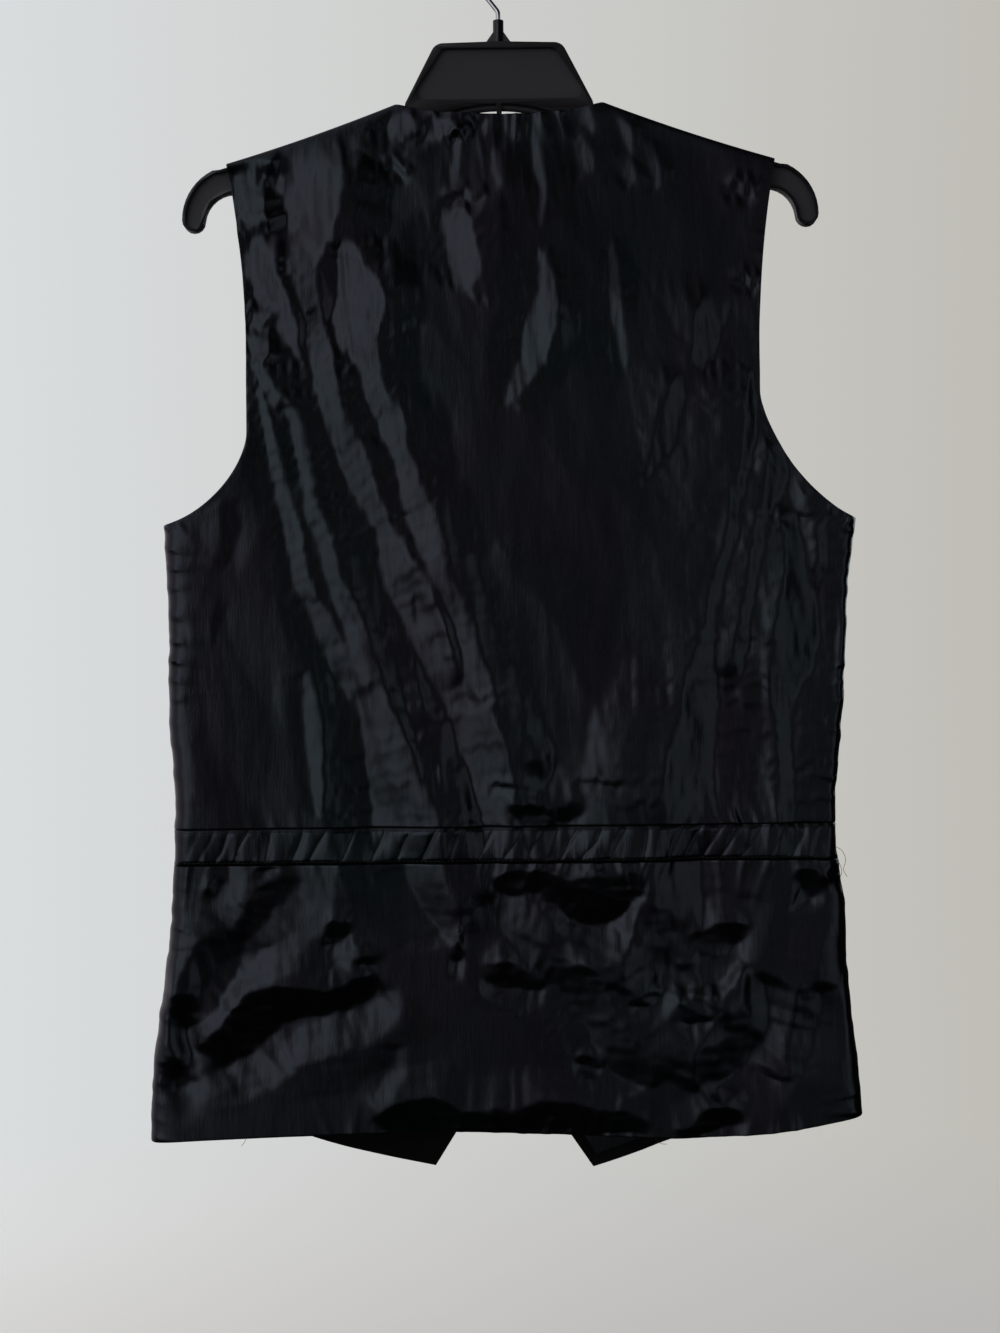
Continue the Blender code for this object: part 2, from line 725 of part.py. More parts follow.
def hanger_half_outline():
    """The right half of the outline, from the crown's middle round to the bar's middle."""
    crown = [(0.0, PLATE_TOP_Z)]
    corner = arc(
        PLATE_TOP_HALF - PLATE_CORNER,
        PLATE_TOP_Z - PLATE_CORNER - CROWN_FALL,
        90.0 - CROWN_SLOPE,
        90.0 - PLATE_SIDE_LEAN,
        PLATE_CORNER,
        steps=5,
    )
    foot = [(PLATE_FOOT_HALF, PLATE_FOOT_Z), (ARM_ROOT_X, ARM_ROOT_Z)]
    top = [(x, arm_top(x)) for x in ARM_TOP_STATIONS]
    bar = [(BAR_HALF, BAR_BOTTOM_Z), (0.0, BAR_BOTTOM_Z)]
    return crown + corner + foot + top + arm_end(0.0) + underside(0.0) + bar


def mirrored(half):
    """A closed outline from its right half, whose first and last points are on the middle line."""
    return half + [(-x, z) for x, z in half[-2:0:-1]]


def arm_pocket(sign):
    """The recess in an arm's face."""
    inset = HANGER_RIM
    stations = [x for x in ARM_TOP_STATIONS if x > ARM_POCKET_FROM]
    top = [(x, arm_top(x, inset)) for x in [ARM_POCKET_FROM] + stations]
    foot = [(ARM_POCKET_FROM, ARM_UNDERSIDE[-1].height + inset + ARM_POCKET_FOOT_RISE)]
    ring = top + arm_end(inset) + underside(inset) + foot
    return [(sign * x, z) for x, z in ring]


def rounded_panel():
    """The recess in the plate: a trapezoid with round corners."""
    lean = 90.0 - PLATE_SIDE_LEAN
    corner = PANEL_CORNER
    lower = arc(PANEL_BOTTOM_HALF - corner, PANEL_BOTTOM_Z + corner, -90.0, lean, corner, steps=6)
    upper = arc(PANEL_TOP_HALF - corner, PANEL_TOP_Z - corner, lean, 90.0, corner, steps=4)
    right = lower + upper
    return right + [(-x, z) for x, z in right[::-1]]


def window(sign):
    """One of the two arched openings beside the middle rib."""
    top = []
    for share in np.linspace(0.0, 1.0, WINDOW_STEPS + 1):
        x = WINDOW_RIB_HALF + (WINDOW_HALF - WINDOW_RIB_HALF) * share
        z = WINDOW_TOP_Z - (WINDOW_TOP_Z - WINDOW_SPRING_Z) * (x / WINDOW_HALF) ** 2
        top.append((sign * x, z))
    return top + [(sign * WINDOW_HALF, WINDOW_BOTTOM_Z), (sign * WINDOW_RIB_HALF, WINDOW_BOTTOM_Z)]


def prism(ring, y_from, y_to):
    """Points and outward faces of an upright outline given in x and z, pushed along y."""
    area = sum(a[0] * b[1] - b[0] * a[1] for a, b in zip(ring, ring[1:] + ring[:1]))
    if area < 0.0:
        ring = ring[::-1]
    count = len(ring)
    points = [(x, y_from, z) for x, z in ring] + [(x, y_to, z) for x, z in ring]
    faces = [list(range(count)), list(range(2 * count - 1, count - 1, -1))]
    for step in range(count):
        after = (step + 1) % count
        faces.append([step, step + count, after + count, after])
    return points, faces


def joined(shapes):
    """Several separate shapes as one list of points and faces."""
    points = []
    faces = []
    for shape_points, shape_faces in shapes:
        start = len(points)
        points.extend(shape_points)
        faces.extend([[start + index for index in face] for face in shape_faces])
    return points, faces


def turned(radius, z_from, z_to, sides=20):
    """Points and faces of an upright round bar on the middle line."""
    points = []
    for z in (z_from, z_to):
        for step in range(sides):
            angle = 2.0 * math.pi * step / sides
            points.append((radius * math.cos(angle), radius * math.sin(angle), z))
    faces = [list(range(sides - 1, -1, -1)), list(range(sides, 2 * sides))]
    for step in range(sides):
        after = (step + 1) % sides
        faces.append([step, after, after + sides, step + sides])
    return points, faces


def add_helper(name, shape):
    """A shape that only cuts or joins another: it is left out of the object."""
    helper = add_mesh(name, shape[0], shape[1], None, smooth=False)
    helper.hide_render = True
    helper.display_type = "WIRE"
    return helper


def combine(thing, helper, operation):
    step = thing.modifiers.new(helper.name, "BOOLEAN")
    step.operation = operation
    step.object = helper


def add_hanger_body(finish):
    thick = HANGER_HALF_THICKNESS
    body_points, body_faces = prism(mirrored(hanger_half_outline()), -thick, thick)
    body = add_mesh("hanger_body", body_points, body_faces, finish, smooth=False)
    cuts = []
    for ring in (arm_pocket(-1), arm_pocket(1), rounded_panel()):
        cuts.append(prism(ring, HANGER_WEB, HANGER_CUTTER_REACH))
        cuts.append(prism(ring, -HANGER_CUTTER_REACH, -HANGER_WEB))
    for sign in (-1, 1):
        cuts.append(prism(window(sign), -HANGER_CUTTER_REACH, HANGER_CUTTER_REACH))
    combine(body, add_helper("hanger_recesses", joined(cuts)), "DIFFERENCE")
    combine(body, add_helper("socket_tube", turned(SOCKET_RADIUS, SOCKET_FOOT_Z, SOCKET_TOP_Z)), "UNION")
    gusset = prism(
        [(-GUSSET_HALF, SOCKET_FOOT_Z), (GUSSET_HALF, SOCKET_FOOT_Z), (0.0, GUSSET_TOP_Z)],
        -GUSSET_HALF_THICKNESS,
        GUSSET_HALF_THICKNESS,
    )
    combine(body, add_helper("socket_gusset", gusset), "UNION")
    bore = turned(SOCKET_BORE_RADIUS, SOCKET_BORE_Z, SOCKET_TOP_Z + HANGER_CUTTER_REACH)
    combine(body, add_helper("socket_bore", bore), "DIFFERENCE")
    return body


def hook_path():
    """The wire's centre line: stem, bend, straight run, then the round crook to its tip."""
    lean = math.radians(HOOK_LEAN)
    tangent = HOOK_BEND_RADIUS * math.tan(lean / 2.0)
    stem_foot = (0.0, SOCKET_BORE_Z + SEAM_GAP)
    bend = []
    for share in np.linspace(0.0, 1.0, 6):
        turn = lean * share
        x = -HOOK_BEND_RADIUS * (1.0 - math.cos(turn))
        z = HOOK_BEND_Z - tangent + HOOK_BEND_RADIUS * math.sin(turn)
        bend.append((x, z))
    crook = arc(0.0, HOOK_CENTRE_Z, 180.0 + HOOK_LEAN, HOOK_TIP_ANGLE, HOOK_RADIUS, steps=24)
    return [stem_foot] + bend + crook


def add_hanger_hook(finish):
    path = bpy.data.curves.new("hanger_hook", "CURVE")
    path.dimensions = "3D"
    spline = path.splines.new("POLY")
    points = hook_path()
    spline.points.add(len(points) - 1)
    for point, (x, z) in zip(spline.points, points):
        point.co = (x * MM, 0.0, z * MM, 1.0)
    path.bevel_depth = WIRE_RADIUS * MM
    path.bevel_resolution = 2
    path.use_fill_caps = True
    path.materials.append(finish)
    hook = bpy.data.objects.new("hanger_hook", path)
    bpy.context.scene.collection.objects.link(hook)
    return hook


def main():
    clear_scene()
    taffeta = material("back_taffeta", TAFFETA)
    suiting = material("front_suiting", SUITING)
    plastic = material("hanger_plastic", HANGER_PLASTIC)
    button_plastic = material("button_plastic", BUTTON_PLASTIC)
    chrome = material("hook_chrome", CHROME)
    add_hanger_body(plastic)
    add_hanger_hook(chrome)
    add_back_upper(taffeta)
    add_waist_casing(taffeta)
    add_back_lower(taffeta)
    add_front("front_left", -1, suiting)
    add_front("front_right", 1, suiting)
    add_lining("lining_right", taffeta)
    for number, height in enumerate(BUTTON_HEIGHTS, start=1):
        add_button(f"button_{number}", height, button_plastic)


main()
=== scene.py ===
"""The looks of a suit waistcoat that hangs, back outwards, on a plastic coat hanger.

+Z is up and the garment's back faces -Y. Each piece of cloth is a thin shell on the surface of its solid,
with its folds, gathers, seams and thread. Tables and sizes are in millimetres, and each mesh is scaled to
metres as it is made. A sign of -1 is the wearer's left, at -X, and a side of -1 is the garment's back.
"""

import math
from collections import namedtuple

import bmesh
import bpy
import numpy as np
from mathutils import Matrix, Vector
from mathutils.bvhtree import BVHTree


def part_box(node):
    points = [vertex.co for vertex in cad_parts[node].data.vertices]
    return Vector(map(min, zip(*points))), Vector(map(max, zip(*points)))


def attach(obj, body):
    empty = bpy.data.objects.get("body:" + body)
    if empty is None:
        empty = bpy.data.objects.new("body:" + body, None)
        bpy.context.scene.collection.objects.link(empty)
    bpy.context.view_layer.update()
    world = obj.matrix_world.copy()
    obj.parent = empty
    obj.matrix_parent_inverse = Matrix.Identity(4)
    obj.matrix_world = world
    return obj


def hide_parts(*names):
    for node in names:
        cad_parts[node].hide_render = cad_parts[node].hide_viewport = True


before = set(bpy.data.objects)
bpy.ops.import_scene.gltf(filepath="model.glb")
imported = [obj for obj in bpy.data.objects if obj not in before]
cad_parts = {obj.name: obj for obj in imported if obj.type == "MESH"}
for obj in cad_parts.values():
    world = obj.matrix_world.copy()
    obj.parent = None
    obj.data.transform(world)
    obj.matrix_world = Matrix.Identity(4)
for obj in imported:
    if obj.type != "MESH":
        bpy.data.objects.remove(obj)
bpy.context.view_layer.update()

MM = 0.001

# Camera: the garment fills the frame as it does in the photograph
CAMERA_AIM = (-3.7, -15.0, -503.8)
CAMERA_DISTANCE = 1350.0
CAMERA_ROLL = 0.65
CAMERA_SEES = 20000.0
FRAME_HEIGHT = 896.5
SENSOR = 36.0

# Studio: a floor that fades out, a backdrop that the camera sees, and a room that the cloth reflects
FLOOR_Z = -1150.0
FLOOR_RADIUS = 1500.0
FLOOR_FADES_FROM = 450.0
FLOOR_COLOUR = (0.62, 0.62, 0.61)
FLOOR_LIGHTER = 1.03
FLOOR_GLOW = 0.33
# Backdrop: painted lighter and cooler at the left, dimmer and warmer at the right, as if lit by the window
BACKDROP_LEFT = (0.70, 0.725, 0.735)
BACKDROP_RIGHT = (0.52, 0.505, 0.465)
BACKDROP_TURNS = (-0.25, 0.25)
ROOM_LEFT = (0.42, 0.38, 0.411)
ROOM_RIGHT = (0.01, 0.009, 0.01)
ROOM_TURNS = (-0.45, 0.25)
ROOM_DARKENS = (-0.50, -0.16)
ROOM_DARKEST = 0.02
Lamp = namedtuple("Lamp", "name x y z width height watts colour mirrored")
LAMPS = (
    Lamp("window", -1450, -1930, 50, 1300, 2700, 6.0, (0.84, 0.98, 1.0), True),
    Lamp("lit_wall", 1540, -1850, -500, 1300, 2400, 3.7, (0.92, 0.96, 1.0), True),
    Lamp("far_window", 1700, 1900, 200, 1200, 1500, 5.0, (0.84, 0.98, 1.0), True),
    Lamp("room_lamp", -1900, 1500, 0, 900, 1800, 45.0, (1.0, 0.97, 0.93), False),
)

# Cloth: the walls' thickness, the gap between sewn pieces, how near the seams' plane a face may come, how
# many outer cells lie over an inner one, an edge's rounding, and how far in from an edge is measured
BACK_WALL = 1.2
FRONT_WALL = 1.5
LINING_WALL = 1.0
SEAM_GAP = 0.3
SEAM_CLOSED = 0.02
INNER_STEP = 3
EDGE_ROUND = 1.1
EDGE_SINKS = 0.45
EDGE_REACH = 60.0

# Heights of the lines across the garment
UNDERARM = -406.0
CASING_TOP = -611.5
CASING_BOTTOM = -635.5
FRONT_V_BOTTOM = -402.0
CUTAWAY_TOP = -752.0

# The shoulder line
NECK_POINT_X = 71.0
NECK_POINT_Z = -122.2
SHOULDER_POINT_X = 186.0
SHOULDER_FALL = 0.39
SHOULDER_EASE = 0.00044

# Depth from the seams' plane to the outer face of the cloth
SHOULDER_DEPTH = 9.2
CHEST_DEPTH = 18.5
HEM_DEPTH = 16.0
DEPTH_GROWS_OVER = 190.0
HEM_THINS_FROM = -510.0
HEM_THINS_OVER = 300.0
CREST_HEIGHT = 8.0
CREST_POWER = 4.0
BACK_SIDE_POWER = 60.0
FRONT_SIDE_POWER = 4.0

# The side seams, as height and the distances out to the left and to the right
SIDE_SEAMS = (
    (-120, 284, 284), (-250, 258, 260), (-406, 231, 239), (-431, 229, 235), (-485, 228, 231),
    (-540, 228, 228), (-594, 225, 223), (-624, 226, 223), (-662, 228, 228), (-716, 234, 230),
    (-771, 242, 236), (-822, 244, 240),
)
# How far and over what lengths the side seams wander, which lane of the noise each one follows, and how far
# from its stitches a seam holds the cloth down
SEAM_DRAWN = 0.55
SEAM_WANDERS = (7.0, 17.0)
SEAM_LANES = (0.3, 7.3)
SEAM_HOLDS_OVER = 2.0

Armhole = namedtuple("Armhole", "narrowest hollow_width hollow_height power")
ARMHOLE_LEFT = Armhole(172.5, 58.5, 60.0, 1.6)
ARMHOLE_RIGHT = Armhole(173.5, 65.5, 85.0, 1.45)
ARMHOLE_FLARE = 13.0
ARMHOLE_FLARE_FROM = 105.0
ARMHOLE_FLARE_POWER = 2.0
ARMHOLE_SHOWS_OVER = 3.0
FRONT_ARMHOLE_SHOWS = 2.5

# Edges across the garment, as x and height
BACK_NECK = (
    (-71, -122), (-60, -125), (-45, -128), (-15, -130), (20, -130), (45, -128), (60, -125.5),
    (71, -122),
)
BACK_HEM = (
    (-244, -822), (-150, -818.5), (-30, -817), (40, -820), (130, -822.5), (185, -819), (240, -809),
)
FRONT_HEM_LEFT = (
    (-244, -818), (-160, -816), (-140, -824), (-118, -831), (-90, -838), (-52, -846.5),
)
FRONT_HEM_RIGHT = (
    (57, -848), (67, -845), (88, -838), (108, -830.5), (133, -823.5), (160, -816), (242, -806),
)

# The front edges, from the V neck down to the points
FRONT_LAP = 12.0
NECK_BOW = 9.0
CUTAWAY_BOW = 6.0
CUTAWAY_POWER = 1.25
LAP_LIFT = 2.4
LAP_LIFT_FROM = -95.0
LAP_LIFT_OVER = 60.0
BUTTON_STAND_HALF = 10.0
BUTTON_STAND_EASE = 22.0

# Folds. Each runs through knots of x, z and half its width. Between its valley and its ridge the cloth
# slopes evenly by its tilt. A fold that runs down the cloth faces -X there, and one that runs to +X faces
# down, or the other way where the tilt is negative.


class Fold:
    """Its flanks and ends fall away over so many times its half width, and a rough one has ragged edges."""

    flank = 3.0
    end = 1.3
    rough = 1.0
    most_boost = 1.8

    def __init__(self, tilt, *knots):
        self.tilt = tilt
        self.knots = knots


class Sweep(Fold):
    """A fold with long, quiet flanks and ends."""

    flank = 5.5
    end = 3.5


class Hollow(Fold):
    """A dark dent, with more ragged edges."""

    flank = 2.6
    end = 2.2
    rough = 1.2
    most_boost = 1.3


UPPER_FOLDS = (
    # yoke patch and streak B down the left
    Fold(0.26, (-127, -141, 21), (-127, -179, 21.5), (-130, -207, 17.5), (-134, -233, 9.5),
         (-129, -260, 7.5), (-123, -298, 9.5), (-117, -328, 7), (-104, -359, 8), (-92, -386, 7),
         (-82, -410, 6), (-72, -437, 11.5), (-59, -461, 12), (-52, -485, 11), (-43, -506, 10),
         (-30, -530, 11.5), (-17, -554, 15), (-10, -577, 11.5), (-7, -601, 9.5), (-5, -649, 9.5)),
    # diamond and streak A
    Fold(0.26, (-103, -212, 4), (-101, -237, 12), (-95, -257, 16.5), (-96, -278, 15), (-90, -298, 9.5),
         (-86, -318, 7), (-75, -337, 9.5), (-69, -359, 7), (-63, -383, 7.5), (-54, -407, 9.5),
         (-48, -428, 9), (-40, -448, 8), (-32, -472, 7), (-25, -492, 7.5), (-17, -516, 9),
         (-14, -537, 5.5)),
    # streaks C and D
    Fold(0.25, (-171, -288, 5), (-159, -316, 3.5), (-143, -338, 5), (-135, -369, 5), (-128, -403, 4),
         (-118, -430, 6), (-109, -461, 7.5), (-99, -491, 8), (-91, -522, 10), (-83, -549, 13.5),
         (-75, -577, 17.5), (-70, -607, 21.5), (-68, -648, 21.5)),
    Fold(0.25, (-167, -313, 2.5), (-158, -348, 4), (-148, -389, 5), (-140, -426, 6), (-132, -457, 6),
         (-121, -484, 7.5), (-110, -506, 7.5), (-99, -529, 5.5)),
    Fold(0.26, (-134, -506, 2), (-130, -528, 5.5), (-128, -552, 5.5), (-126, -576, 5), (-124, -601, 2.5)),
    # patches under the left shoulder
    Fold(0.3, (-168, -144, 13), (-170, -175, 11.5), (-169, -210, 8)),
    Fold(0.25, (-162, -203, 9), (-162, -234, 11.5), (-154, -253, 11), (-146, -274, 7), (-135, -297, 1.5)),
    Fold(0.25, (-170, -264, 2), (-166, -284, 6), (-163, -299, 2.5)),
    # patches in the middle
    Fold(0.27, (-32, -187, 8), (-28, -206, 11), (-24, -229, 11), (-25, -243, 8), (-29, -254, 2.5)),
    Fold(0.24, (-27, -142, 2), (-28, -163, 2.5), (-29, -184, 2)),
    Fold(0.2, (-67, -126, 4), (-64, -140, 9.5), (-68, -160, 2.5)),
    Fold(0.2, (-48, -129, 5.5), (-42, -140, 9.5), (-39, -153, 5.5)),
    Fold(0.24, (24, -128, 2), (25, -143, 3.5), (27, -167, 4), (30, -187, 2.5), (28, -209, 1.5)),
    Fold(0.22, (52, -122, 2.5), (58, -133, 6), (65, -148, 2)),
    Fold(0.2, (52, -148, 2), (58, -163, 5.5), (62, -178, 2)),
    Fold(0.2, (80, -131, 2), (85, -144, 5.5), (90, -165, 2.5)),
    Fold(0.18, (83, -162, 3.5), (87, -174, 5), (90, -184, 2)),
    Fold(0.2, (99, -146, 2), (103, -166, 4), (104, -185, 2)),
    Fold(0.18, (-3, -153, 2), (-1, -170, 4), (0, -187, 2.5)),
    Fold(0.2, (7, -123, 2), (9, -138, 4), (10, -153, 2.5)),
    Fold(0.26, (27, -220, 2.5), (30, -245, 6), (27, -265, 9), (22, -289, 9), (13, -309, 5.5),
         (5, -334, 1.5)),
    Fold(0.22, (74, -218, 2), (77, -246, 4), (78, -273, 5), (84, -307, 1.5)),
    # soft sweeps to the waist
    Fold(0.1, (-13, -421, 7), (0, -459, 16.5), (20, -493, 18.5), (37, -527, 17.5), (51, -561, 16.5),
         (57, -649, 13.5)),
    Fold(0.1, (-78, -482, 3.5), (-68, -512, 6), (-58, -539, 7.5), (-48, -567, 9.5), (-40, -594, 10),
         (-35, -648, 10)),
    Fold(0.09, (88, -494, 5), (79, -521, 8), (69, -548, 9.5), (63, -575, 5.5)),
    Fold(-0.06, (-191, -355, 20.5), (-187, -457, 26), (-185, -538, 27), (-191, -647, 24.5)),
    Fold(-0.1, (169, -454, 5.5), (167, -501, 7.5), (166, -542, 8), (162, -583, 8), (159, -651, 8)),
    Fold(0.05, (216, -373, 8), (218, -461, 8), (219, -543, 8), (213, -651, 8)),
    Fold(-0.17, (-188, -387, 4), (-185, -406, 6), (-188, -423, 5.5), (-193, -439, 2)),
    Fold(-0.15, (-188, -455, 2), (-192, -471, 3.5), (-198, -490, 1.5)),
    # right hand group
    Sweep(-0.29, (151, -245, 7.5), (143, -270, 10), (137, -290, 9), (127, -311, 2.5)),
    Sweep(-0.29, (123, -307, 3.5), (114, -325, 7.5), (109, -351, 7.5), (101, -368, 4), (89, -388, 1.5)),
    Sweep(-0.29, (171, -303, 2), (167, -332, 4), (162, -365, 4), (155, -406, 4), (145, -447, 4),
         (136, -484, 6), (131, -511, 10), (130, -535, 15.5), (127, -562, 17.5), (124, -589, 19.5),
         (120, -650, 20.5)),
    Sweep(-0.29, (180, -353, 2.5), (182, -378, 8), (176, -403, 4), (168, -437, 4), (163, -467, 4),
         (155, -505, 6), (151, -528, 5)),
    Sweep(-0.28, (191, -393, 5), (195, -434, 7), (197, -464, 11), (196, -488, 13.5), (189, -519, 10),
         (185, -549, 6), (186, -583, 6), (182, -651, 6)),
    Sweep(-0.26, (211, -408, 4), (212, -434, 4), (206, -460, 3.5)),
    # quiet cloth between them
    Sweep(-0.12, (155, -447, 5), (149, -484, 6), (145, -506, 4), (150, -535, 5), (151, -589, 8),
          (149, -650, 8)),
)
UPPER_HOLLOWS = (
    # shadowed hollows of the upper panel
    Hollow(0.4, (-163, -158, 2.5), (-156, -166, 5), (-151, -177, 4), (-149, -187, 2.5)),
    Hollow(0.34, (-100, -153, 1.5), (-85, -159, 2.5), (-68, -166, 3.5), (-58, -173, 1.5)),
    Hollow(0.34, (-41, -185, 1.5), (-27, -187, 3.5), (-15, -190, 3.5), (-6, -192, 1.5)),
    Hollow(-0.5, (-25, -132, 3.5), (-21, -141, 5), (-19, -150, 2.5)),
    Hollow(0.4, (-168, -258, 2.5), (-163, -268, 5), (-159, -276, 2.5)),
    Hollow(0.3, (191, -381, 2.5), (200, -400, 5.5), (204, -430, 4), (205, -460, 2.5)),
    Hollow(0.34, (150, -243, 2), (162, -245, 4), (176, -249, 2)),
    Hollow(0.34, (147, -179, 2), (160, -183, 4), (176, -189, 2.5)),
    Hollow(-0.4, (-48, -449, 2), (-41, -472, 3.5), (-34, -496, 3.5), (-29, -519, 2)),
    Hollow(0.34, (-14, -586, 1.5), (6, -585, 2.5), (28, -584, 1.5)),
    Hollow(0.3, (10, -577, 4), (25, -573, 8), (40, -568, 4)),
    Hollow(0.3, (-5, -603, 2.5), (14, -600, 5.5), (33, -596, 2.5)),
    Hollow(0.3, (22, -606, 3.5), (39, -603, 7), (56, -599, 2.5)),
    Hollow(0.3, (44, -585, 1.5), (63, -581, 2.5), (82, -578, 1.5)),
)
LOWER_FOLDS = (
    # light folds
    Fold(0.17, (-128, -603, 12), (-129, -651, 13.5), (-133, -674, 10), (-142, -691, 11.5),
         (-162, -707, 11), (-179, -718, 7), (-191, -727, 2.5)),
    Fold(0.18, (-70, -719, 3.5), (-84, -736, 9.5), (-103, -749, 11), (-127, -756, 12), (-148, -763, 8),
         (-163, -766, 2.5)),
    Fold(0.28, (-63, -604, 9.5), (-54, -648, 13.5), (-46, -665, 14.5), (-40, -679, 9.5), (-36, -690, 2)),
    Fold(0.27, (-9, -649, 7), (5, -671, 13.5), (21, -690, 15), (41, -710, 13.5), (56, -731, 13.5),
         (69, -755, 13.5), (83, -777, 10), (93, -792, 2.5)),
    Fold(0.3, (-238, -792, 7), (-229, -762, 11), (-218, -736, 13.5), (-206, -714, 16.5),
         (-193, -694, 13.5), (-182, -673, 5.5)),
    Fold(-0.29, (116, -606, 13.5), (112, -660, 18.5), (103, -684, 18.5), (92, -703, 15.5), (81, -727, 4)),
    Fold(-0.3, (168, -708, 5), (162, -725, 12), (154, -746, 16.5), (140, -771, 17), (127, -797, 5.5)),
    Fold(-0.17, (206, -714, 5.5), (200, -736, 9), (194, -763, 9), (193, -787, 5.5)),
    Fold(-0.15, (224, -678, 5.5), (219, -702, 9.5), (212, -726, 5.5)),
    Fold(0.27, (-106, -684, 5), (-108, -696, 8), (-105, -710, 5)),
    Fold(0.26, (-181, -603, 5.5), (-183, -647, 6), (-187, -662, 2.5)),
    Fold(0.12, (-187, -769, 4), (-198, -780, 8), (-211, -793, 3.5)),
    Fold(0.2, (-69, -755, 3.5), (-76, -774, 6), (-90, -800, 4)),
)
LOWER_HOLLOWS = (
    # dark folds, facing down
    Hollow(0.4, (-213, -767, 8), (-197, -759, 12), (-180, -747, 14.5), (-167, -736, 14.5),
           (-152, -731, 12), (-134, -729, 10), (-115, -728, 8), (-100, -721, 7.5), (-87, -710, 2.5)),
    Hollow(0.38, (-237, -736, 11), (-221, -732, 13.5), (-202, -729, 8)),
    Hollow(0.38, (-238, -776, 11), (-223, -773, 12), (-208, -770, 7)),
    Hollow(0.24, (-182, -685, 6), (-167, -663, 9), (-149, -650, 6), (-135, -640, 4)),
    Hollow(0.38, (-208, -654, 1.5), (-200, -651, 3.5), (-195, -638, 2)),
    Hollow(0.38, (-170, -640, 2), (-160, -639, 2.5), (-150, -640, 2)),
    Hollow(0.38, (-127, -678, 2.5), (-117, -679, 6), (-102, -682, 2.5)),
    Hollow(0.36, (-107, -705, 1.5), (-98, -702, 2.5), (-87, -701, 1.5)),
    Hollow(0.38, (-20, -708, 5), (-8, -710, 9), (5, -713, 8), (17, -717, 6), (29, -721, 2.5)),
    Hollow(0.38, (-42, -694, 2.5), (-34, -695, 7), (-28, -695, 2.5)),
    Hollow(0.38, (-14, -649, 2.5), (1, -649, 8), (18, -650, 8), (37, -656, 11), (52, -660, 17),
           (66, -658, 15), (79, -653, 9.5), (96, -648, 5)),
    Hollow(0.38, (114, -692, 5.5), (130, -690, 10), (146, -688, 9), (163, -685, 3.5)),
    Hollow(0.38, (104, -715, 5.5), (123, -711, 9.5), (141, -709, 8), (156, -706, 3.5)),
    Hollow(0.38, (78, -730, 2.5), (93, -727, 5.5), (108, -725, 4)),
    Hollow(0.38, (105, -741, 4), (121, -736, 9), (134, -733, 8), (146, -728, 2.5)),
    Hollow(0.38, (41, -767, 2), (53, -770, 4), (67, -776, 1.5)),
    Hollow(0.38, (187, -645, 2.5), (198, -646, 7.5), (208, -653, 9.5), (219, -660, 5)),
    Hollow(0.38, (160, -773, 2), (171, -776, 4), (185, -780, 2)),
    Hollow(0.38, (-95, -813, 3.5), (-81, -807, 8), (-65, -804, 11), (-48, -804, 12), (-31, -807, 9.5),
           (-7, -808, 9.5), (20, -809, 10), (44, -808, 11), (69, -813, 8), (97, -819, 4)),
    Hollow(0.38, (109, -823, 2.5), (129, -816, 6), (146, -809, 8), (167, -806, 8)),
)
FRONT_FOLDS = (
    Fold(0.2, (-150, -240, 3), (-126, -330, 14), (-108, -450, 15), (-100, -600, 3)),
    Fold(0.22, (-190, -450, 3), (-166, -540, 13), (-152, -660, 13), (-160, -780, 3)),
    Fold(0.18, (-60, -460, 3), (-64, -560, 11), (-74, -680, 12), (-90, -800, 3)),
    Fold(0.2, (-176, -215, 3), (-158, -280, 8), (-150, -350, 3)),
    Fold(-0.2, (150, -240, 3), (126, -330, 14), (106, -450, 15), (96, -600, 3)),
    Fold(-0.22, (190, -440, 3), (170, -540, 13), (154, -660, 13), (150, -780, 3)),
    Fold(-0.18, (64, -470, 3), (72, -570, 11), (82, -690, 12), (88, -800, 3)),
    Fold(-0.2, (172, -225, 3), (160, -300, 8), (148, -370, 3)),
)
# How folds are drawn: steps between knots, unevenness that is slow or quick along them, corners and ends, the
# slope that their strengths are worked out for, and where they die out
FOLD_STEPS = 3
FOLD_SEEDS = 200
LEAST_HALF_WIDTH = 0.8
SLOW_UNEVEN = 0.1
SLOW_UNEVEN_OVER = 34.0
QUICK_UNEVEN = 0.9
QUICK_UNEVEN_OVER = 4.5
LINE_SHARE = 0.4
WIDTH_LANE = 9.0
ROUGH_FROM = 6.0
FOLD_CORNER = 2.2
FOLD_END = 3.0
MOST_RELIEF = 11.0
LEAST_BOOST = 0.8
SLOPE_SPAN = 0.7
SLOPE_ENDS = 5
FOLDS_FADE_TO_SIDE = 10.0
FOLDS_FADE_TO_CREST = 12.0
CREASES_ON_LOWER = 0.5
CREASES_ON_FRONT = 0.35

# Puckers along the seams
Puckers = namedtuple("Puckers", "pitch height reach")
LEFT_PUCKERS = Puckers(14.0, 2.6, 9.0)
RIGHT_PUCKERS = Puckers(13.0, 2.6, 9.0)
NECK_PUCKERS = Puckers(9.0, 1.5, 18.0)
UPPER_BAND_PUCKERS = Puckers(15.0, 2.0, 14.0)
LOWER_BAND_PUCKERS = Puckers(17.0, 1.7, 14.0)
HEM_PUCKERS = Puckers(16.0, 1.3, 10.0)
CASING_TOP_PUCKERS = Puckers(6.5, 0.7, 4.5)
CASING_FOOT_PUCKERS = Puckers(8.5, 0.8, 5.0)
# How puckers vary along a seam, and how they die out past the armholes' foot and the neck's ends
PUCKER_REACH_VARIES = 0.6
PUCKER_FADE_POWER = 1.4
PUCKER_LEAN = 0.45
PUCKER_CROWDING = 0.55
PUCKER_CROWDING_VARIES = 0.75
PUCKER_CREST_POWER = 1.3
ARMHOLE_PUCKERS = 0.35
ARMHOLE_PUCKERS_OVER = 12.0
NECK_PUCKERS_FADE = 20.0

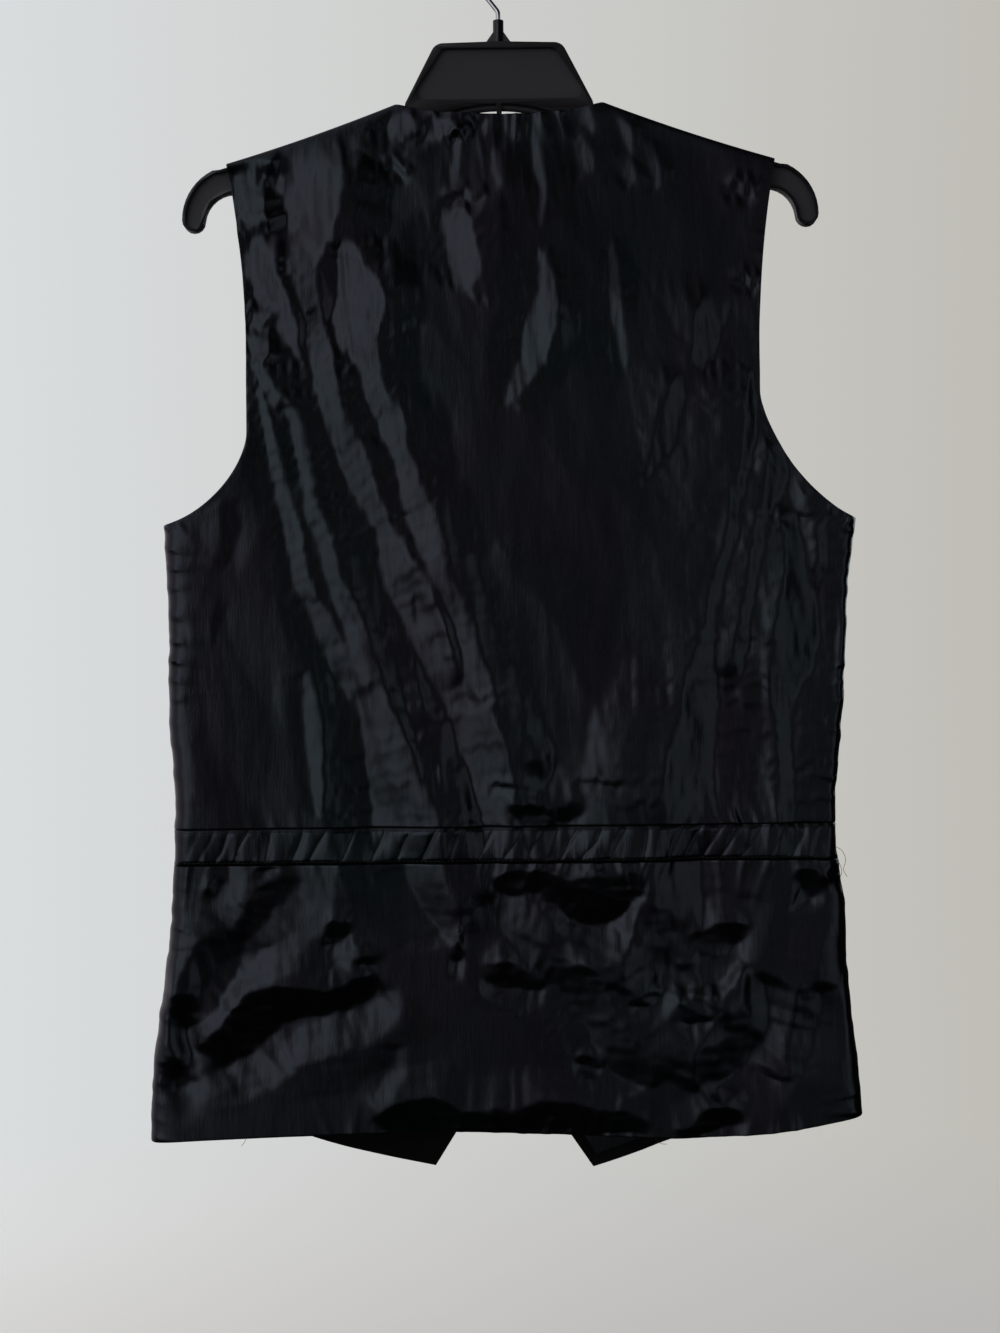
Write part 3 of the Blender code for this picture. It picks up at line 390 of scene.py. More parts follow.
# The gathered band
GATHERS = (-212, -203, -191, -178, -162, -142, -127, -107, -87, -70, -53, -35, -15, 4)
GATHERS += (18, 29, 42, 57, 74, 93, 111, 124, 137, 150, 164, 181, 195, 208)
GATHER_SLANT = 10.0
GATHER_SLANT_VARIES = 0.7
GATHER_STRAYS = 1.8
PUFF_HEIGHT = 1.7
PUFF_FULL_WIDTH = 18.0
PUFF_SIZES = (0.35, 1.1)
PUFF_SKEWS = (0.55, 1.5)
PUFF_FLATNESS = 0.35
BAND_BULGE = 1.4
BAND_EDGE_BULGE = 0.25
BAND_EDGE_RISE = 0.12
BAND_EDGE_WIDTH = 4.0

# The lining inside the right front's point
FACING_SHARE = 0.05
FACING_ROW = 0.021
LINING_SHARE = 0.6956
LINING_ROW = 0.3976
LINING_SINKS = 0.25
LINING_SINKS_FROM = 8.0

# Stitches
Stitch = namedtuple("Stitch", "pitch length radius lift")
CASING_STITCH = Stitch(3.0, 2.2, 0.24, 0.16)
FRONT_STITCH = Stitch(4.4, 1.5, 0.22, 0.1)
STITCH_LENGTHS = (0.86, 1.08)
STITCH_STRAYS = 0.14
CASING_STITCH_INSET = 1.9
CASING_STITCHES_REACH = 219.0
FRONT_STITCH_INSET = 4.0
FRONT_STITCHES_DROP = 14.0
FRONT_STITCHES_CORNER = 1.6
FRONT_STITCHES_REACH = 216.0

# Buttonholes and loose thread
BUTTONHOLE_FROM = -1.0
BUTTONHOLE_TO = -15.5
BUTTONHOLE_HALF = 0.55
PURL_STEP = 0.15
PURL_PITCH = 0.75
PURL_RADIUS = 0.42
PURL_SWELL = 0.09
PURL_LIFT = 0.1
BARS = 3
BAR_FROM = 0.1
BAR_PITCH = 0.45
BAR_HALF = 1.25
BAR_RADIUS = 0.28
BAR_LIFT = 0.12
LOOSE_THREAD_RADIUS = 0.16
LOOSE_THREADS = (
    ((221.5, -3.0, -628.0), (5.0, -1.0, -3.0), (7.5, -2.0, -9.0), (6.0, -2.0, -16.0), (8.5, -1.0, -21.0)),
    ((222.0, -2.5, -636.0), (3.0, -1.0, -4.0), (4.5, -1.0, -9.5), (3.0, -1.5, -14.0)),
    ((96.0, -14.0, -820.5), (2.0, -1.0, -3.0), (5.0, -0.5, -5.5), (9.0, 0.0, -6.0)),
    ((-178.0, -11.0, -818.0), (-1.0, -1.0, -3.5), (-3.5, -0.5, -7.0)),
)

# Buttons: the sections are radius and height, and the holes are across and up
BUTTON_HEIGHTS = (-418, -497, -576, -655, -734)
BUTTON_SIDES = 64
BUTTON_BACK = ((2.0, 0.35), (4.0, 0.45), (5.8, 0.75))
BUTTON_DISH = ((5.55, 2.62), (5.0, 2.36), (4.2, 2.18), (3.0, 2.1), (1.5, 2.07))
BUTTON_DISH_MIDDLE = 2.06
BUTTON_RIM_RADIUS = 6.75
BUTTON_RIM_HEIGHT = 2.15
BUTTON_RIM_ROUND = 0.85
BUTTON_RIM_SQUEEZE = 0.8
HOLES = ((-1.25, -1.25), (1.25, -1.25), (1.25, 1.25), (-1.25, 1.25))
HOLE_RADIUS = 0.75
HOLE_DEPTHS = (-3.0, 1.0, 6.0)
CROSS_SHIFTS = (-0.3, 0.0, 0.3)
CROSS_HEIGHT = 1.3
CROSS_RISE = 1.15
CROSS_RADIUS = 0.21
SHANK_HEIGHTS = (-0.9, -0.1, 0.7)
SHANK_SPREAD = 0.45
SHANK_RADIUS = 0.32
BUTTON_SHARP_FROM = 38.0

# Hanger and hook
HANGER_EDGE = 1.1
HANGER_EDGE_FROM = 32.0
HANGER_FLAT_WITHIN = 0.6
RIM_DEPTH = 3.0
RECESS_DEPTH = 1.6
PANEL_HALF = 54.5
PANEL_MIDDLE = -100.0
PANEL_FOOT = -113.5
PANEL_SPREADS = 1.05
PANEL_DROPS = 6.5
ARCH_HALF = 43.0
ARCH_TOP = -124.0
ARCH_FALL = 9.0
ARCH_LIP = 2.4
WIRE_RADIUS = 1.6
HOOK_RADIUS = 23.0
HOOK_CENTRE_Z = -21.4
HOOK_LEAN = 38.0
HOOK_TIP_ANGLE = -25.0
HOOK_BEND_Z = -58.8
HOOK_BEND_RADIUS = 6.0
HOOK_FOOT_Z = -75.7

# Finishes. Pitches are in metres, and HAIR_DEPTH is in millimetres.
TAFFETA_SHEENS = ((0.69, 0.86, 0.98), (0.79, 0.81, 1.0))
TAFFETA_HUES = ((0.0006, 0.0036, 0.0024), (0.0056, 0.0030, 0.0050))
TAFFETA_WEAVE = 0.0005
HAIR_WIDTH = 0.008
HAIR_DEPTH = 0.035
SUITING_COLOUR = (0.030, 0.030, 0.035)
SUITING_GLOSS = 0.22
# How light the fronts' inner faces are: painted shade, darkening them as if they lay in shadow
INNER_FACE_PAINTED_SHADE = 0.1
TWILL_PITCH = 0.0007
TWILL_SLANT = 62.0
THREAD_PLY = 0.0005
MOULDED_LIGHTER = 1.5
RIM_COLOUR = (0.008, 0.008, 0.009)
RIM_ROUGHNESS = 0.17
# The recesses' colour is partly the duller plastic's own and partly painted sheen, lighter as if catching
# light
RECESS_COLOUR_AND_PAINTED_SHEEN = (0.042, 0.043, 0.047)
RECESS_ROUGHNESS = 0.46
# How long a wave texture's band is at a scale of 1
BAND_LENGTH = 0.314

# Noise and waves
LATTICE = 256
WAVE_WANDERS = 0.4
WAVE_VARIES = 0.35

# Meshes. Columns and rows: how many, how many of them crowd each end, and in what share of the panel
UPPER_COLUMNS = (285, 30, 0.06)
UPPER_BODY_ROWS = (117, 10, 0.04)
UPPER_YOKE_ROWS = (168, 24, 0.08)
LOWER_ROWS = (120, 12, 0.06)
BAND_COLUMNS = (480, 30, 0.05)
BAND_ROWS = (30, 6, 0.12)
FRONT_COLUMNS = (120, 18, 0.06)
FRONT_SKIRT_ROWS = (192, 12, 0.03)
FRONT_CHEST_ROWS = (144, 24, 0.08)
LINING_COLUMNS = 61
LINING_ROWS = 91
# Passes that find a panel's corner, the angle of a sharp edge, the flat tip of a strand's domed end, and how
# far out the rays start that seat a stitch
CORNER_PASSES = 8
SHARP_FROM = 50.0
DOME_TIP = 0.4
SEAT_FROM = 200.0


# ---------------------------------------------------------------- sums


def ease(share):
    """0 to 1 with level ends."""
    share = np.clip(share, 0.0, 1.0)
    return share * share * (3.0 - 2.0 * share)


def through(knots, values, at):
    """A smooth curve through a short table, read at any places."""
    knots = np.asarray(knots, float)
    values = np.asarray(values, float)
    order = np.argsort(knots)
    knots = knots[order]
    values = values[order]
    slopes = np.gradient(values, knots)
    at = np.clip(at, knots[0], knots[-1])
    left = np.clip(np.searchsorted(knots, at) - 1, 0, len(knots) - 2)
    span = knots[left + 1] - knots[left]
    share = (at - knots[left]) / span
    rise = share * share * (3.0 - 2.0 * share)
    leave = share * (1.0 - share) ** 2 * span * slopes[left]
    arrive = -share * share * (1.0 - share) * span * slopes[left + 1]
    return values[left] * (1.0 - rise) + values[left + 1] * rise + leave + arrive


def lattice(x, z, seed):
    """Corner values and the place inside the cell, for points on a seeded lattice of unit cells."""
    table = np.random.default_rng(seed).uniform(-1.0, 1.0, (LATTICE, LATTICE))
    column = np.floor(x)
    row = np.floor(z)
    c0 = column.astype(int) % LATTICE
    r0 = row.astype(int) % LATTICE
    c1 = (c0 + 1) % LATTICE
    r1 = (r0 + 1) % LATTICE
    return table[r0, c0], table[r0, c1], table[r1, c0], table[r1, c1], x - column, z - row


def noise(x, z, seed):
    """Smooth heights from -1 to 1 with features about one unit across."""
    near, side, up, far, across, rise = lattice(x, z, seed)
    across = across**3 * (across * (across * 6.0 - 15.0) + 10.0)
    rise = rise**3 * (rise * (rise * 6.0 - 15.0) + 10.0)
    low = near + (side - near) * across
    high = up + (far - up) * across
    return low + (high - low) * rise


def facets(x, z, seed):
    """Heights from -1 to 1 made of flat triangles with creases between them."""
    near, side, up, far, across, rise = lattice(x, z, seed)
    lower = near + across * (side - near) + rise * (up - near)
    upper = far + (1.0 - across) * (up - far) + (1.0 - rise) * (side - far)
    return np.where(across + rise < 1.0, lower, upper)


def wave(along, pitch, seed):
    """An uneven wave from -1 to 1 along a line."""
    still = np.zeros_like(along)
    wander = WAVE_WANDERS * noise(along / (pitch * 2.3), still, seed)
    size = 1.0 - WAVE_VARIES + WAVE_VARIES * noise(along / (pitch * 1.7), still, seed + 1)
    return size * np.sin(2.0 * math.pi * (along / pitch + wander))


Layer = namedtuple("Layer", "shape height width length lean drift", defaults=(0.0, 0.0))
RAGGED_ACROSS = (
    Layer(facets, 2.6, 24.0, 34.0),
    Layer(facets, 1.3, 6.5, 22.0),
    Layer(noise, 0.6, 3.4, 13.0),
)
RAGGED_UP = Layer(facets, 3.6, 26.0, 40.0)
FEATHER = Layer(facets, 0.8, 4.0, 22.0)
STRONG_FEATHER = Layer(facets, 3.0, 4.0, 22.0)
LOWER_RIPPLE = Layer(noise, 1.1, 15.0, 4.5)
CREASES = (
    Layer(facets, 0.8, 27.0, 62.0, 0.18),
    Layer(facets, 0.22, 11.0, 23.0, -0.3, 0.2),
    Layer(noise, 0.55, 46.0, 120.0),
)
BAND_CRINKLE = Layer(facets, 0.35, 8.0, 11.0, -0.4)
LINING_DENTS = Layer(facets, 1.0, 9.0, 14.0)


def layered(start, layers, x, z, seed):
    """A value with layers of noise or facets added. Leaning ones follow slanted coordinates."""
    for place, layer in enumerate(layers):
        across = (x + layer.lean * z) / layer.width
        up = (z + layer.drift * x) / layer.length
        start = start + layer.height * layer.shape(across, up, seed + place)
    return start


def ragged(x, z, seed, feather=FEATHER):
    """x and z drawn about unevenly, so that folds get broken, feathered edges."""
    drawn_x = layered(x, RAGGED_ACROSS, x, z, seed)
    return drawn_x, layered(z, (RAGGED_UP, feather), x, z, seed + len(RAGGED_ACROSS))


def creased(x, z, seed):
    """Faint flat facets and soft waves over pressed, shiny cloth."""
    return layered(0.0, CREASES, x, z, seed)


# ---------------------------------------------------------------- the garment's surface


def shoulder_line(x):
    """Height of the shoulder crest, carried on over the neck."""
    out = np.abs(x) - NECK_POINT_X
    return NECK_POINT_Z - SHOULDER_FALL * out + SHOULDER_EASE * out * out


def half_width(x, z):
    """Distance from the middle to the side seam on the side of x, carried on upwards past the armhole."""
    heights, left, right = zip(*SIDE_SEAMS)
    on_left = np.asarray(x) < 0.0
    lane = np.where(on_left, *SEAM_LANES) + 0.0 * z
    short, long = SEAM_WANDERS
    drawn = SEAM_DRAWN * (noise(z / short, lane, 3) + noise(z / long, lane, 4))
    return np.where(on_left, through(heights, left, z), through(heights, right, z)) + drawn


def side_seam(sign):
    return lambda z: sign * half_width(sign, z)


def armhole_edge(sign, outset=0.0):
    """x of the armhole's edge as a function of height."""
    hole = ARMHOLE_LEFT if sign < 0 else ARMHOLE_RIGHT

    def edge(z):
        up = np.asarray(z, float) - UNDERARM
        down_share = np.clip(1.0 - up / hole.hollow_height, 0.0, 1.0)
        across_share = (1.0 - down_share**hole.power) ** (1.0 / hole.power)
        flare_length = shoulder_line(SHOULDER_POINT_X) - UNDERARM - ARMHOLE_FLARE_FROM
        flare_share = np.clip((up - ARMHOLE_FLARE_FROM) / flare_length, 0.0, 1.0)
        reach = hole.narrowest + hole.hollow_width * (1.0 - across_share)
        reach = reach + ARMHOLE_FLARE * flare_share**ARMHOLE_FLARE_POWER
        shown = outset * across_share * ease(1.0 - up / (ARMHOLE_SHOWS_OVER * hole.hollow_height))
        return sign * (reach + shown)

    return edge


def level_line(places):
    """Height as a function of x, from a table of both."""
    xs, heights = zip(*places)
    return lambda x: through(xs, heights, x)


def flat(height):
    return lambda x: np.full(np.shape(x), float(height))


def body_depth(drop, z):
    """Depth of the outer face at the panel's middle, by its drop below the shoulder line and its height."""
    grown = SHOULDER_DEPTH + (CHEST_DEPTH - SHOULDER_DEPTH) * ease(drop / DEPTH_GROWS_OVER)
    return grown - (CHEST_DEPTH - HEM_DEPTH) * ease((HEM_THINS_FROM - z) / HEM_THINS_OVER)


def away_from_edges(x, z):
    """Folds die out at the side seams and over the shoulder."""
    to_side = half_width(x, z) - np.abs(x)
    to_crest = shoulder_line(x) - z
    return ease(to_side / FOLDS_FADE_TO_SIDE) * ease(to_crest / FOLDS_FADE_TO_CREST)


def surface(x, z, side, inset, relief):
    """Points at a given inset from the body's outer face: side is -1 for the back and +1 for the fronts."""
    half = half_width(x, z)
    share = np.clip(np.abs(x) / half, 0.0, 1.0)
    drop = np.clip(shoulder_line(x) - z, 0.0, None)
    crest_share = np.clip(1.0 - drop / CREST_HEIGHT, 0.0, 1.0)
    crest = (1.0 - crest_share**CREST_POWER) ** (1.0 / CREST_POWER)
    section = np.sqrt(1.0 - share ** (BACK_SIDE_POWER if side < 0 else FRONT_SIDE_POWER))
    depth = (body_depth(drop, z) - inset) * section * crest + relief
    inner_x = x - np.sign(x) * inset * share
    inner_z = z - inset * crest_share
    return np.stack([inner_x, side * np.maximum(depth, SEAM_CLOSED), inner_z], axis=-1)


def fold_line(fold):
    """x, z, half width and length so far at close steps along a fold."""
    knots = np.array(fold.knots, float)
    place = np.arange(len(knots), dtype=float)
    fine = np.linspace(0.0, place[-1], FOLD_STEPS * (len(knots) - 1) + 1)
    x, z, width = (through(place, knots[:, column], fine) for column in range(3))
    length = np.concatenate([[0.0], np.cumsum(np.hypot(np.diff(x), np.diff(z)))])
    return x, z, np.maximum(width, LEAST_HALF_WIDTH), length


def fold_profile(across, width, flank):
    """Heights for a slope of 1 that runs from a valley at -width to a ridge at +width. Both flanks fall
    away, and the corners are soft."""
    size = np.abs(across)
    corner = np.minimum(FOLD_CORNER, 0.5 * width)
    fall = width - (size - width) * width / flank
    mix = np.clip(0.5 + 0.5 * (fall - size) / corner, 0.0, 1.0)
    top = fall * (1.0 - mix) + size * mix - corner * mix * (1.0 - mix)
    corner = corner * width / flank
    foot = np.clip(0.5 + 0.5 * top / corner, 0.0, 1.0)
    settled = top * foot + corner * foot * (1.0 - foot)
    return np.sign(across) * np.where(size > width, settled, top)


def nearest_on(line_x, line_z, x, z):
    """Signed distance to a line, positive on its left, and the place on it as a count of its points."""
    nearest = np.full(x.shape, 1e9)
    across = np.zeros(x.shape)
    place = np.zeros(x.shape)
    for step in range(len(line_x) - 1):
        run_x = line_x[step + 1] - line_x[step]
        run_z = line_z[step + 1] - line_z[step]
        off_x = x - line_x[step]
        off_z = z - line_z[step]
        part = np.clip((off_x * run_x + off_z * run_z) / (run_x**2 + run_z**2), 0.0, 1.0)
        distance = np.hypot(off_x - part * run_x, off_z - part * run_z)
        closer = distance < nearest
        nearest = np.where(closer, distance, nearest)
        across = np.where(closer, np.where(run_x * off_z - run_z * off_x > 0.0, distance, -distance), across)
        place = np.where(closer, step + part, place)
    return across, place


def fold_height(fold, x, z, seed):
    """A fold's height for a slope of 1."""
    line_x, line_z, line_width, line_length = fold_line(fold)
    flank = fold.flank * line_width.mean()
    far = line_width.max() + flank
    close = (x > line_x.min() - far) & (x < line_x.max() + far)
    close &= (z > line_z.min() - far) & (z < line_z.max() + far)
    height = np.zeros(np.shape(x))
    across, place = nearest_on(line_x, line_z, x[close], z[close])
    steps = np.arange(len(line_x))
    run = np.interp(place, steps, line_length)
    slow = run / SLOW_UNEVEN_OVER
    quick = run / QUICK_UNEVEN_OVER
    still = 0.0 * run
    width = np.interp(place, steps, line_width)
    across = across + SLOW_UNEVEN * width * noise(slow, still, seed)
    rough = fold.rough * QUICK_UNEVEN * min(1.0, line_width.mean() / ROUGH_FROM)
    across = across + LINE_SHARE * rough * facets(quick, still, seed + 1)
    width = width * (1.0 + SLOW_UNEVEN * noise(slow, still + WIDTH_LANE, seed))
    width = width + rough * facets(quick, still + WIDTH_LANE, seed + 1)
    width = np.maximum(width, LEAST_HALF_WIDTH)
    first = FOLD_END + fold.end * line_width[0]
    last = FOLD_END + fold.end * line_width[-1]
    fade = ease(run / first) * ease((line_length[-1] - run) / last)
    height[close] = fold_profile(across, width, flank) * fade
    return height


def strengths(folds):
    """What each fold is multiplied by so that, on its neighbours' flanks, it still slopes by its tilt."""
    high = []
    low = []
    spans = []
    owners = []
    for number, fold in enumerate(folds):
        x, z, width, _ = fold_line(fold)
        ahead = np.array([np.diff(x), np.diff(z)])
        aside = np.array([-ahead[1], ahead[0]]) / np.hypot(*ahead) * SLOPE_SPAN * width[1:]
        middle = np.array([x[1:], z[1:]])
        inner = slice(len(x) // SLOPE_ENDS, len(x) - 1 - len(x) // SLOPE_ENDS)
        high.append((middle + aside)[:, inner])
        low.append((middle - aside)[:, inner])
        spans.append(2.0 * SLOPE_SPAN * width[1:][inner])
        owners.append(np.full(len(spans[-1]), number))
    high = np.concatenate(high, axis=1)
    low = np.concatenate(low, axis=1)
    spans = np.concatenate(spans)
    owners = np.concatenate(owners)
    slopes = np.zeros((len(folds), len(folds)))
    for number, fold in enumerate(folds):
        slope = (fold_height(fold, *high, 0) - fold_height(fold, *low, 0)) / spans
        slopes[:, number] = np.bincount(owners, slope) / np.bincount(owners)
    tilts = np.array([fold.tilt for fold in folds])
    balanced = np.linalg.lstsq(slopes, tilts, rcond=None)[0]
    return tilts * np.clip(balanced / tilts, LEAST_BOOST, [fold.most_boost for fold in folds])


def folds_height(folds, x, z):
    """All the folds together, eased so that where several cross they stay shallow."""
    total = np.zeros(np.shape(x))
    for place, (fold, strength) in enumerate(zip(folds, strengths(folds))):
        total += strength * fold_height(fold, x, z, FOLD_SEEDS + 2 * place)
    return MOST_RELIEF * np.tanh(total / MOST_RELIEF)


# ---------------------------------------------------------------- grids


def spread(count, dense, share):
    """Shares from 0 to 1, closer together in the first and last of the given share."""
    start = share * (np.arange(dense) / dense) ** 2
    middle = np.linspace(share, 1.0 - share, count - 2 * dense + 1)
    return np.concatenate([start, middle, 1.0 - start[::-1]])


def panel(first_edge, last_edge, bottom, top, shares, rows):
    """x and z over a panel. The two edges give x at a height, and bottom and top give height at an x."""
    shares = np.asarray(shares)[None, :]
    rows = np.asarray(rows)[:, None]
    corners = []
    for level in (bottom, top):
        for edge in (first_edge, last_edge):
            height = level(edge(UNDERARM))
            for _ in range(CORNER_PASSES):
                height = level(edge(height))
            corners.append(float(height))
    first_z = corners[0] + (corners[2] - corners[0]) * rows
    last_z = corners[1] + (corners[3] - corners[1]) * rows
    x = first_edge(first_z) * (1.0 - shares) + last_edge(last_z) * shares
    bottom_z = bottom(x[:1])
    top_z = top(x[-1:])
    bottom_z[0, 0], bottom_z[0, -1] = corners[0], corners[1]
    top_z[0, 0], top_z[0, -1] = corners[2], corners[3]
    return x, bottom_z + (top_z - bottom_z) * rows


def stacked(*panels):
    """Panels joined one above another, the shared rows given once."""
    x = np.concatenate([panels[0][0]] + [part[0][1:] for part in panels[1:]])
    z = np.concatenate([panels[0][1]] + [part[1][1:] for part in panels[1:]])
    return x, z


Edge = namedtuple("Edge", "away along")


def side_edge(x, z, column):
    """Distance from a side edge of a grid, and the length along that edge."""
    line_x = x[:, column]
    line_z = z[:, column]
    away = np.full(x.shape, EDGE_REACH)
    along = np.zeros(x.shape)
    close = np.abs(x - line_x[:, None]) < EDGE_REACH
    across, place = nearest_on(line_x, line_z, x[close], z[close])
    length = np.concatenate([[0.0], np.cumsum(np.hypot(np.diff(line_x), np.diff(line_z)))])
    away[close] = np.abs(across)
    along[close] = np.interp(place, np.arange(len(line_x)), length)
    return Edge(away, along)


def level_edge(x, z, row):
    """Distance from the bottom or top edge of a grid, and the place along it."""
    return Edge(np.abs(z - z[row][None, :]), x)


def border(x, z):
    """Distance to the nearest edge of a grid."""
    away = np.minimum(side_edge(x, z, 0).away, side_edge(x, z, -1).away)
    return np.minimum(away, np.minimum(level_edge(x, z, 0).away, level_edge(x, z, -1).away))


def pucker(edge, kind, seed):
    """Small uneven puckers drawn in along a sewn edge, standing out from the cloth."""
    still = np.zeros_like(edge.along)

    def drift(pitches, step):
        return noise(edge.along / (pitches * kind.pitch), still, seed + step)

    far = kind.reach * (1.0 + PUCKER_REACH_VARIES * drift(1.4, 3))
    fade = np.exp(-((edge.away / far) ** PUCKER_FADE_POWER))
    lean = edge.along + PUCKER_LEAN * edge.away * drift(2.0, 5)
    crowd = ease(PUCKER_CROWDING + PUCKER_CROWDING_VARIES * drift(3.5, 7))
    crest = np.clip(wave(lean, kind.pitch, seed), 0.0, None)
    return kind.height * fade * crowd * crest**PUCKER_CREST_POWER


def seam_holds(edge):
    """The side seam holds the cloth down at its stitches."""
    return ease(edge.away / SEAM_HOLDS_OVER)


def side_puckers(x, z, seed):
    """Puckers along both side seams."""
    left = side_edge(x, z, 0)
    right = side_edge(x, z, -1)
    on_left = pucker(left, LEFT_PUCKERS, seed) * seam_holds(left)
    return on_left + pucker(right, RIGHT_PUCKERS, seed + 2) * seam_holds(right)


# ---------------------------------------------------------------- meshes


def linked(name, data):
    """A new object in the scene."""
    thing = bpy.data.objects.new(name, data)
    bpy.context.scene.collection.objects.link(thing)
    return thing


def add_mesh(name, points, faces, finish):
    """A mesh object from points in millimetres."""
    mesh = bpy.data.meshes.new(name)
    mesh.from_pydata((np.asarray(points, float) * MM).tolist(), [], faces)
    mesh.validate()
    mesh.shade_smooth()
    mesh.set_sharp_from_angle(angle=math.radians(SHARP_FROM))
    mesh.materials.append(finish)
    return linked(name, mesh)


def grid_faces(rows, columns, start, turned):
    """Quads over a grid of points, row by row."""
    corner = start + (np.arange(rows - 1)[:, None] * columns + np.arange(columns - 1)[None, :]).ravel()
    quads = np.stack([corner, corner + 1, corner + columns + 1, corner + columns], axis=1)
    return (quads[:, ::-1] if turned else quads).tolist()


def rim(rows, columns):
    """The indices round the edge of a grid, in order."""
    ring = list(range(columns))
    ring += [row * columns + columns - 1 for row in range(1, rows)]
    ring += [(rows - 1) * columns + column for column in range(columns - 2, -1, -1)]
    return ring + [row * columns for row in range(rows - 2, 0, -1)]


def add_shell(name, x, z, side, wall, relief, finish, start=0.0):
    """A closed cloth shell: a fine outer face, a coarser inner one and a rounded edge between them."""
    near = np.clip(1.0 - border(x, z) / EDGE_ROUND, 0.0, 1.0)
    rounding = EDGE_SINKS * wall * (1.0 - np.sqrt(1.0 - near * near))
    outer = surface(x, z, side, start + rounding, relief)
    step = INNER_STEP
    inner = surface(x[::step, ::step], z[::step, ::step], side, start + wall, relief[::step, ::step])
    rows, columns = outer.shape[:2]
    inner_rows, inner_columns = inner.shape[:2]
    count = rows * columns
    faces = grid_faces(rows, columns, 0, side > 0)
    faces += grid_faces(inner_rows, inner_columns, count, side < 0)
    outer_ring = rim(rows, columns)
    inner_ring = [count + index for index in rim(inner_rows, inner_columns)]
    outer_ring.append(outer_ring[0])
    inner_ring.append(inner_ring[0])
    for place in range(len(inner_ring) - 1):
        strip = outer_ring[place * step : place * step + step + 1]
        face = strip[::-1] + [inner_ring[place], inner_ring[place + 1]]
        faces.append(face if side < 0 else face[::-1])
    points = np.concatenate([outer.reshape(-1, 3), inner.reshape(-1, 3)])
    return add_mesh(name, points, faces, finish)


def tube(line, radius, sides=8, domes=2):
    """Points and faces of a round strand along a line, with domed ends."""
    line = [Vector(point) for point in line]
    radii = [float(radius)] * len(line) if np.isscalar(radius) else [float(value) for value in radius]
    first = (line[0] - line[1]).normalized()
    last = (line[-1] - line[-2]).normalized()
    turns = [0.5 * math.pi * step / (domes + DOME_TIP) for step in range(1, domes + 1)]

    def dome(tip, heading, reach):
        return [(tip + heading * reach * math.sin(turn), reach * math.cos(turn)) for turn in turns]

    stations = dome(line[0], first, radii[0])[::-1] + list(zip(line, radii)) + dome(line[-1], last, radii[-1])
    points = []
    across = first.orthogonal().normalized()
    for place, (centre, reach) in enumerate(stations):
        before = stations[max(place - 1, 0)][0]
        after = stations[min(place + 1, len(stations) - 1)][0]
        heading = (after - before).normalized()
        across = (across - heading * across.dot(heading)).normalized()
        other = heading.cross(across)
        for step in range(sides):
            angle = 2.0 * math.pi * step / sides
            points.append(centre + (across * math.cos(angle) + other * math.sin(angle)) * reach)
    faces = [list(range(sides - 1, -1, -1))]
    for ring in range(len(stations) - 1):
        for step in range(sides):
            here = ring * sides + step
            beside = ring * sides + (step + 1) % sides
            faces.append([here, beside, beside + sides, here + sides])
    foot = (len(stations) - 1) * sides
    faces.append([foot + step for step in range(sides)])
    return [tuple(point) for point in points], faces


def joined(shapes):
    """Several separate shapes as one list of points and faces."""
    points = []
    faces = []
    for shape_points, shape_faces in shapes:
        start = len(points)
        points.extend(shape_points)
        faces.extend([[start + index for index in face] for face in shape_faces])
    return points, faces


def circle(radius, count):
    """Places evenly round a circle."""
    turns = [2.0 * math.pi * step / count for step in range(count)]
    return [(radius * math.cos(turn), radius * math.sin(turn)) for turn in turns]


def seat_tree(piece):
    """What finds the outer face of a piece at any place."""
    return BVHTree.FromObject(piece, bpy.context.evaluated_depsgraph_get())


def seat(tree, x, z, side, lift):
    """The point on a piece's outer face at x and z, lifted off it, in millimetres."""
    origin = Vector((x, side * SEAT_FROM, z)) * MM
    hit, normal, _, _ = tree.ray_cast(origin, Vector((0.0, -side, 0.0)))
    if hit is None:
        return None
    return hit / MM + normal * lift


def dress(piece, slot, *nodes):
    """Makes a piece part of the object and hides the solids that it stands for. The slot is not used."""
    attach(piece, "root")
    if nodes:
        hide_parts(*nodes)
    return piece


def add_strands(name, shapes, slot, finish):
    """Stitches or thread as one piece."""
    return dress(add_mesh(name, *joined(shapes), finish), slot)


# ---------------------------------------------------------------- materials


def ramp(tree, value, start, end, low, high):
    """A node that runs from low to high while a value runs from start to end."""
    node = tree.nodes.new("ShaderNodeMapRange")
    tree.links.new(value, node.inputs["Value"])
    for name, number in (("From Min", start), ("From Max", end), ("To Min", low), ("To Max", high)):
        node.inputs[name].default_value = number
    return node.outputs["Result"]


def mixed(tree, factor, first, second):
    """A node that mixes two colours."""
    node = tree.nodes.new("ShaderNodeMix")
    node.data_type = "RGBA"
    ends = [socket for socket in node.inputs if socket.type == "RGBA"]
    ends[0].default_value = (*first, 1.0)
    ends[1].default_value = (*second, 1.0)
    tree.links.new(factor, node.inputs[0])
    return [socket for socket in node.outputs if socket.type == "RGBA"][0]


